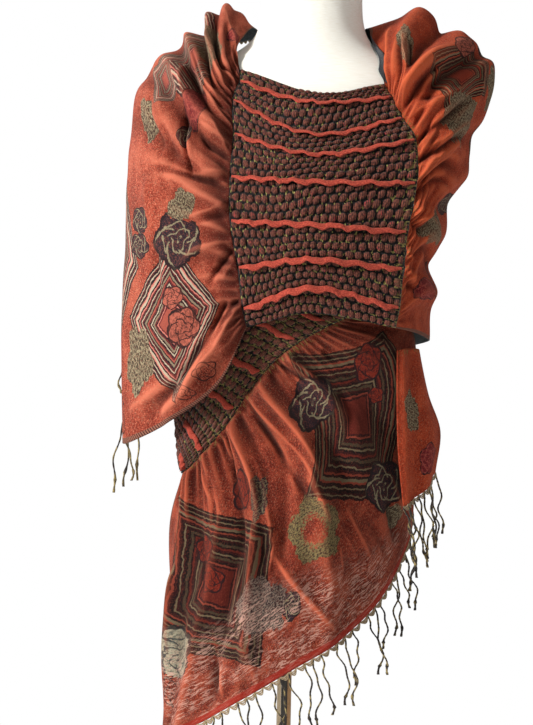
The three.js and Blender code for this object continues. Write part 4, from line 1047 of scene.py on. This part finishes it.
def smocking_material():
    tree = Tree("maroon_smocking")
    a, b, puff = tree.attribute("flat")
    rib = a.wave(1.9)
    grain = tree.grain(a * 0.9, b * 0.5)
    tops = tree.ramp(grain + rib * 0.07, [(0.36, srgb(47, 20, 15)), (0.5, srgb(85, 42, 31)),
                                          (0.64, srgb(123, 68, 51))])
    pink = tree.grain(a * 0.12, b * 0.12, 5.0, 3.0, 0.7).rise(0.57, 0.68)
    tops = tree.mix(pink * rib.over(0.3) * 0.7, tops, srgb(164, 44, 54))
    flecks = tree.grain(a * 0.42, b * 0.24, 9.0, 1.0, 0.5).rise(0.60, 0.65)
    dashes = tree.grain(a * 0.14, b * 0.5, 4.0, 1.0, 0.5).over(0.55) * a.over(DASHES_FROM)
    # between the bubbles: near black as painted shade, with the thread's own olive flecks and dashes
    shaded_gaps = tree.mix(flecks.most(dashes), srgb(10, 6, 5), srgb(132, 122, 66))
    colour = tree.mix(puff.rise(0.14, 0.55), shaded_gaps, tops)
    colour = tree.mix(dashes * 0.4, colour, srgb(92, 66, 40))
    tree.bump(rib * 0.4 + grain, 0.0005, 0.7)
    return tree.set(colour, 0.9, Sheen_Weight=0.15, Specular_IOR_Level=0.25)


def ruffle_material():
    tree = Tree("bright_frill")
    a, c, _ = tree.attribute("flat")
    thread = tree.grain(a * 0.5, c * 1.6)
    colour = tree.ramp(thread, [(0.34, srgb(120, 30, 16)), (0.5, srgb(166, 53, 34)),
                                (0.66, srgb(198, 85, 59))])
    weave = a.wave(THREAD_PITCH) * c.wave(1.2)
    tree.bump(weave * 0.4 + thread, 0.0006, 0.6)
    return tree.set(colour, 0.85, Sheen_Weight=0.1, Sheen_Tint=SHEEN)


def fringe_material():
    tree = Tree("twisted_thread")
    ply, z, x = tree.attribute("flat")
    grain = tree.grain(z * 0.8, x * 0.8)
    pale = tree.ramp(grain, [(0.35, srgb(96, 84, 44)), (0.65, srgb(168, 146, 92))])
    dark = tree.ramp(grain, [(0.35, srgb(14, 11, 10)), (0.7, srgb(52, 38, 26))])
    share = tree.grain(z * 0.05, x * 0.09, 2.0, 1.0, 0.5).rise(0.40, 0.56)
    colour = tree.mix(ply.least(1.0) * share, dark, pale)
    edging = tree.ramp(grain, [(0.35, srgb(104, 84, 62)), (0.65, srgb(176, 152, 116))])
    colour = tree.mix(ply.over(1.5), colour, edging)
    tree.bump(grain, 0.0004, 0.6)
    return tree.set(colour, 0.9, Sheen_Weight=0.2)


def linen_material():
    tree = Tree("cream_linen")
    g, z, _ = tree.attribute("flat")
    weft = z.wave(0.9)
    warp = g.wave(0.9)
    slub = tree.grain(g * 0.08, z * 1.4)
    colour = tree.ramp(slub, [(0.3, srgb(242, 237, 222)), (0.7, srgb(252, 250, 240))])
    tree.bump(weft * warp * 0.5 + slub, 0.0004, 0.5)
    return tree.set(colour, 0.85, Sheen_Weight=0.1)


def wood_material(name, light, dark, fineness):
    """Wood whose grain runs along the axis with the smallest of fineness."""
    tree = Tree(name)
    grain = tree.streaks(fineness, 4.0)
    lines = (grain * 34).sin()
    colour = tree.mix(lines.rise(-1, 1) * 0.45, light, dark)
    tree.bump(lines, 0.0002, 0.4)
    return tree.set(colour, 0.5)


def steel_material():
    tree = Tree("dark_steel")
    grain = tree.streaks((900, 900, 12), rough=0.5)
    colour = tree.ramp(grain, [(0.3, srgb(58, 54, 50)), (0.7, srgb(92, 88, 82))])
    tree.bump(grain, 0.0001, 0.4)
    return tree.set(colour, 0.42, Metallic=0.7)


# the shawl

# motifs: kind, centre, first half axis and second half axis, each as millimetres along and across. Those
# that the photograph shows were picked in it, and a scratch script turned most into millimetres, as
# report.md says.
LEFT_RINGS = [
    (SQUARE, 128, 371, -43, -29, -33, 31), (SQUARE, 146, 140, 60, 8, -8, 52),
    (SQUARE, 173, 195, -14, -17, -21, 10), (SQUARE, 268, 330, 40, -44, 46, 36)]
LEFT_FLOWERS = [
    (ROSE, 103, 315, -45, 1, 13, 23), (LEAF, 96, 286, -26, -5, 11, 21), (ROSE, 176, 310, -24, -3, -2, 9),
    (ROSE, 180, 325, -24, -3, -1, 8), (LEAF, 189, 394, -27, -2, 4, 24), (BLUSH, 114, 379, -22, 10, 12, 14),
    (BLUSH, 122, 355, -14, 5, 10, 7), (LEAF, 135, 103, -30, -35, -50, -1), (WINE, 92, 178, -29, -12, 1, 29),
    (ROSE, 103, 217, -12, -5, -1, 16), (OUTLINE, 124, 426, -14, 8, 8, 4), (OUTLINE, 86, 423, -16, 1, -2, 9),
    (LEAF, 178, 239, -16, -5, -7, 18), (WINE, 124, 30, -6, -26, -25, 4), (ROSE, 250, 190, 24, -6, 5, 22),
    (LEAF, 262, 224, 18, -4, 6, 20), (OUTLINE, 240, 425, 14, 0, 0, 12)]
RIGHT_RINGS = [
    (SQUARE, 150, 146, 58, 16, -14, 36), (SQUARE, 300, 250, 56, -30, 30, 48),
    (SQUARE, 440, 120, 60, -34, 32, 54), (SQUARE, 590, 250, 56, 34, -34, 52)]
RIGHT_FLOWERS = [
    (BLUSH, 204, 124, 12, 16, -23, 3), (LEAF, 123, 186, 44, 38, -14, 21), (LEAF, 102, 282, 55, 13, -10, 17),
    (ROSE, 174, 270, 65, 10, -17, 7), (LEAF, 123, 57, -29, 16, -42, -3), (WINE, 98, 339, 56, 5, -16, 10),
    (ROSE, 250, 160, 28, 6, -6, 26), (LEAF, 222, 190, 24, 12, -8, 22), (ROSE, 385, 205, 26, 8, -8, 26),
    (LEAF, 352, 150, 26, -8, 8, 20), (BLUSH, 440, 122, 22, 6, -6, 22), (WINE, 500, 70, 20, 8, -8, 20),
    (GREY, 520, 300, 30, 8, -8, 28), (LEAF, 480, 240, 20, 12, -10, 24), (BLUSH, 592, 250, 20, 4, -4, 20),
    (ROSE, 620, 150, 26, 8, -8, 26), (PALE, 400, 330, 24, 6, -6, 24), (OUTLINE, 330, 60, 18, 6, -6, 16),
    (RED, 160, 330, 18, 6, -6, 16)]
FAN_RINGS = [
    (SQUARE, 109, 108, 32, -54, 75, 35), (SQUARE, 163, 313, 69, -74, 74, 1)]
FAN_FLOWERS = [
    (ROSE, 64, 149, 20, -23, 24, 33), (ROSE, 204, 92, 27, -28, 27, 7), (RED, 70, 61, 15, -8, 16, 22),
    (RED, 107, 78, 8, -7, 8, 5), (GREY, 235, 244, 32, -34, 28, 8), (ROSE, 256, 210, 9, -12, 18, 2),
    (PALE, 217, 352, 14, -33, 35, 0), (WREATH, 190, 186, 28, -34, 31, 10), (RED, 82, 281, 18, -14, 19, 12),
    (STEM, 113, 257, 10, -11, 26, 6), (RED, 113, 334, 16, -17, 15, 3), (RED, 155, 318, 15, -17, 13, 2),
    (OUTLINE, 260, 355, 8, -18, 23, 2), (LEAF, 254, 80, 20, -7, 5, 9), (LEAF, 40, 395, 12, -6, 10, 14)]
CORNER_FLOWERS = [(LEAF, 72, 24, 26, 3, -3, 14), (WINE, 130, 44, 20, 2, -2, 13)]

# rows of bubbles between the first band's lines, and how many come before each line of the second
FRONT_ROWS, FRONT_COLUMNS = [2, 4, 4, 5, 5, 5, 4, 3], 22
SIDE_LEVELS, SIDE_COLUMNS = [0, 2, 6, 11, 15, 20, 24, 26], 21
SIDE_FRILL_FROM, SIDE_FRILL_TO = 8 / 14, 1 - 0.5 / 14


def closer_above(v):
    """Where the left fringe's strands lie: the first 0.58 of them are on the first half of the edge."""
    return np.where(v < 0.58, 0.5 * v / 0.58, 1 - 0.5 * (1 - v) / 0.42)


def add_shawl():
    teal, selvedge = reverse_material(), selvedge_material()
    # the arm's material is the lit copy of the jacquard, with painted light; the side's and the skirt's are
    # shaded copies, with painted shade
    arm = [cloth_material("lit_salmon_jacquard", LIT_ARM_TONES, LIT_ARM_SQUARE, near=0.95), teal, selvedge]
    side = [cloth_material("shaded_rust_jacquard", SHADED_SIDE_TONES, SHADED_SIDE_SQUARE, dashes=True), teal, selvedge]
    skirt = [cloth_material("shaded_open_jacquard", SHADED_FAN_TONES, SHADED_FAN_SQUARE, dashes=True, open_from=196, near=0.45),
             teal, selvedge]
    smocking, frill, thread = [smocking_material(), teal], ruffle_material(), fringe_material()
    right_motifs = {"rings": RIGHT_RINGS, "flowers": RIGHT_FLOWERS}
    front_lines, side_lines = np.linspace(0, 1, len(FRONT_ROWS) + 1), np.array(SIDE_LEVELS) / SIDE_LEVELS[-1]
    return {
        "left": add_cloth("cloth_left", "stretch_left", left_side, 90, 270, arm,
                          rings=LEFT_RINGS, flowers=LEFT_FLOWERS),
        "right": add_cloth("cloth_right", "stretch_right", right_side, 110, 220, side, share=(0, 0.5),
                           **right_motifs),
        "collar": add_turned_edge("cloth_collar_turn", right_side, 0.3, (-8.5, 3.0, 0.5), teal),
        "back": add_cloth("cloth_back", "stretch_back", right_side, 100, 190, side, share=(0.5, 1),
                          **right_motifs),
        "fan": add_cloth("cloth_fan", "fan_panel", fan, 120, 290, skirt,
                         rings=FAN_RINGS, flowers=FAN_FLOWERS),
        "corner": add_cloth("cloth_corner", "fan_corner", corner, 70, 36, side, flowers=CORNER_FLOWERS,
                            selvedge=False),
        "band": add_smocking("smocking_front", "band_front", front_band, 176, 268, FRONT_COLUMNS,
                             front_lines, np.cumsum([0, *FRONT_ROWS]), smocking),
        "side": add_smocking("smocking_side", "band_side", side_band, 150, 190, SIDE_COLUMNS,
                             side_lines, SIDE_LEVELS, smocking, slope=0.0),
        "front_frills": [
            add_ruffle(f"frill_front_{k}", f"ruffle_front_{k}", front_band, front_lines[k], 0.012, 0.988,
                       7.4, 1.3 * k, frill)
            for k in range(1, len(FRONT_ROWS))],
        "side_frills": [
            add_ruffle(f"frill_side_{k + 1}", f"ruffle_side_{k + 1}", side_band, line, SIDE_FRILL_FROM,
                       SIDE_FRILL_TO, 2.6, 2.1 * k, frill, scale=0.85, steps=90)
            for k, line in enumerate(side_lines[1:-1])],
        "hem_fringe": add_fringe("thread_hem", "fringe_hem", fan, thread, 48, 1, 47,
                                 lambda n: n > 8 and n % 4 == 3, lean=0.02, seed=0.4, tied=True),
        "corner_fringe": add_fringe("thread_corner", "fringe_corner", corner, thread, 9, 0, 9,
                                    lambda n: False, drop=66, lean=0.04, seed=1.9),
        "left_fringe": add_fringe("thread_left", "fringe_left", left_side, thread, 46, 1, 45,
                                  lambda n: (n % 2 == 0 and n < 42) or n < 8, drop=70, lean=-0.04,
                                  splay=0.05, seed=3.1, spread=closer_above, bunched=4)}


def add_stand(wood, post_wood, lit_post_wood, steel):
    """The form's finer cap and base, with better finishes on the post: its left cheek takes a paler lit copy
    of the wood, as painted light.
    """
    cx, cy = (float(v[0]) for v in form_section(np.array([FORM_TOP]))[2:])
    top = FORM_TOP + 0.3
    cap = lathe("neck_cap", [(0, top), (44.5, top), (46, top + 1.2), (49.2, top + 9.5), (49.8, top + 10.8),
                             (48.6, top + 12), (0, top + 12)], (cx, cy), 96, wood)
    finish_piece(cap, "wood", "form_neck_cap")
    base = lathe("round_base", [(0, 0), (173.5, 0), (175, 1.5), (175, 15), (173.8, 18.5), (170.5, 21),
                                (166, 22), (40, 22), (35.5, 22.6), (33.4, 25), (30.2, 38), (28.6, 46),
                                (27.4, 47.6), (23.4, 48), (22, 46.8), (22, 22), (0, 22)], (0, 0), 128, wood)
    finish_piece(base, "wood", "stand_base")
    # the left cheek's paler wood is painted light, a lit copy of the right cheek's
    finishes = {"stand_cheek_left": lit_post_wood, "stand_cheek_right": post_wood, "stand_bar": steel}
    for node, finish in finishes.items():
        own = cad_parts[node]
        own.data.materials.clear()
        own.data.materials.append(finish)


FLOOR_RADIUS, FLOOR_SIDES, FLOOR_Z = 2600, 96, -0.5
SURROUND_LIGHT = 0.36
# area lights: name, place and size in metres, and power
LIGHTS = [("key", (-2.6, -1.7, 2.3), 0.7, 165), ("rim", (-1.6, 2.2, 2.4), 1.6, 30),
          ("fill", (2.4, -1.6, 1.6), 1.8, 6)]
LIT_PLACE = Vector((0, 0, 1.1))


def white_light(node, strength):
    node.inputs["Color"].default_value, node.inputs["Strength"].default_value = (1, 1, 1, 1), strength
    return node.outputs[0]


def add_studio():
    """A pale floor, a white surround and soft light from the left."""
    tree = Tree("pale_floor")
    tree.set(tree.ramp(tree.streaks((3, 3, 3), 3.0, 0.5), [(0.3, (0.84,) * 3), (0.7, (0.88,) * 3)]), 0.8)
    turns = [2 * math.pi * i / FLOOR_SIDES for i in range(FLOOR_SIDES)]
    ring = [(FLOOR_RADIUS * math.cos(turn), FLOOR_RADIUS * math.sin(turn), FLOOR_Z) for turn in turns]
    floor = new_mesh("floor", ring, [tuple(range(FLOOR_SIDES))], [tree.material], smooth=False)
    world = bpy.data.worlds.new("surround")
    world.use_nodes = True
    bpy.context.scene.world = world
    nodes, links = world.node_tree.nodes, world.node_tree.links
    mix, path = nodes.new("ShaderNodeMixShader"), nodes.new("ShaderNodeLightPath")
    links.new(path.outputs["Is Camera Ray"], mix.inputs[0])
    links.new(white_light(nodes["Background"], SURROUND_LIGHT), mix.inputs[1])
    links.new(white_light(nodes.new("ShaderNodeBackground"), 1.0), mix.inputs[2])
    links.new(mix.outputs[0], nodes["World Output"].inputs["Surface"])
    for name, place, size, power in LIGHTS:
        data = bpy.data.lights.new(name, "AREA")
        data.shape, data.size, data.energy = "DISK", size, power
        lamp = bpy.data.objects.new(name, data)
        bpy.context.scene.collection.objects.link(lamp)
        lamp.location = place
        lamp.rotation_mode = "QUATERNION"
        lamp.rotation_quaternion = (LIT_PLACE - lamp.location).to_track_quat("-Z", "Y")


add_camera()
bpy.context.scene.view_settings.view_transform = "Standard"
shawl = add_shawl()
brown, dark_brown = srgbs((176, 132, 86), (112, 74, 42))
wood = wood_material("turned_wood", brown, dark_brown, (5, 60, 60))
post_wood = wood_material("post_wood", brown, dark_brown, (90, 90, 6))
# a paler, lit copy of the post's wood, as painted light
lit_post_wood = wood_material("lit_post_wood", *srgbs((214, 188, 150), (168, 134, 96)), (90, 90, 6))
add_form(linen_material())
add_stand(wood, post_wood, lit_post_wood, steel_material())
add_studio()

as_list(shawl["front_frills"])
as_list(shawl["side_frills"])
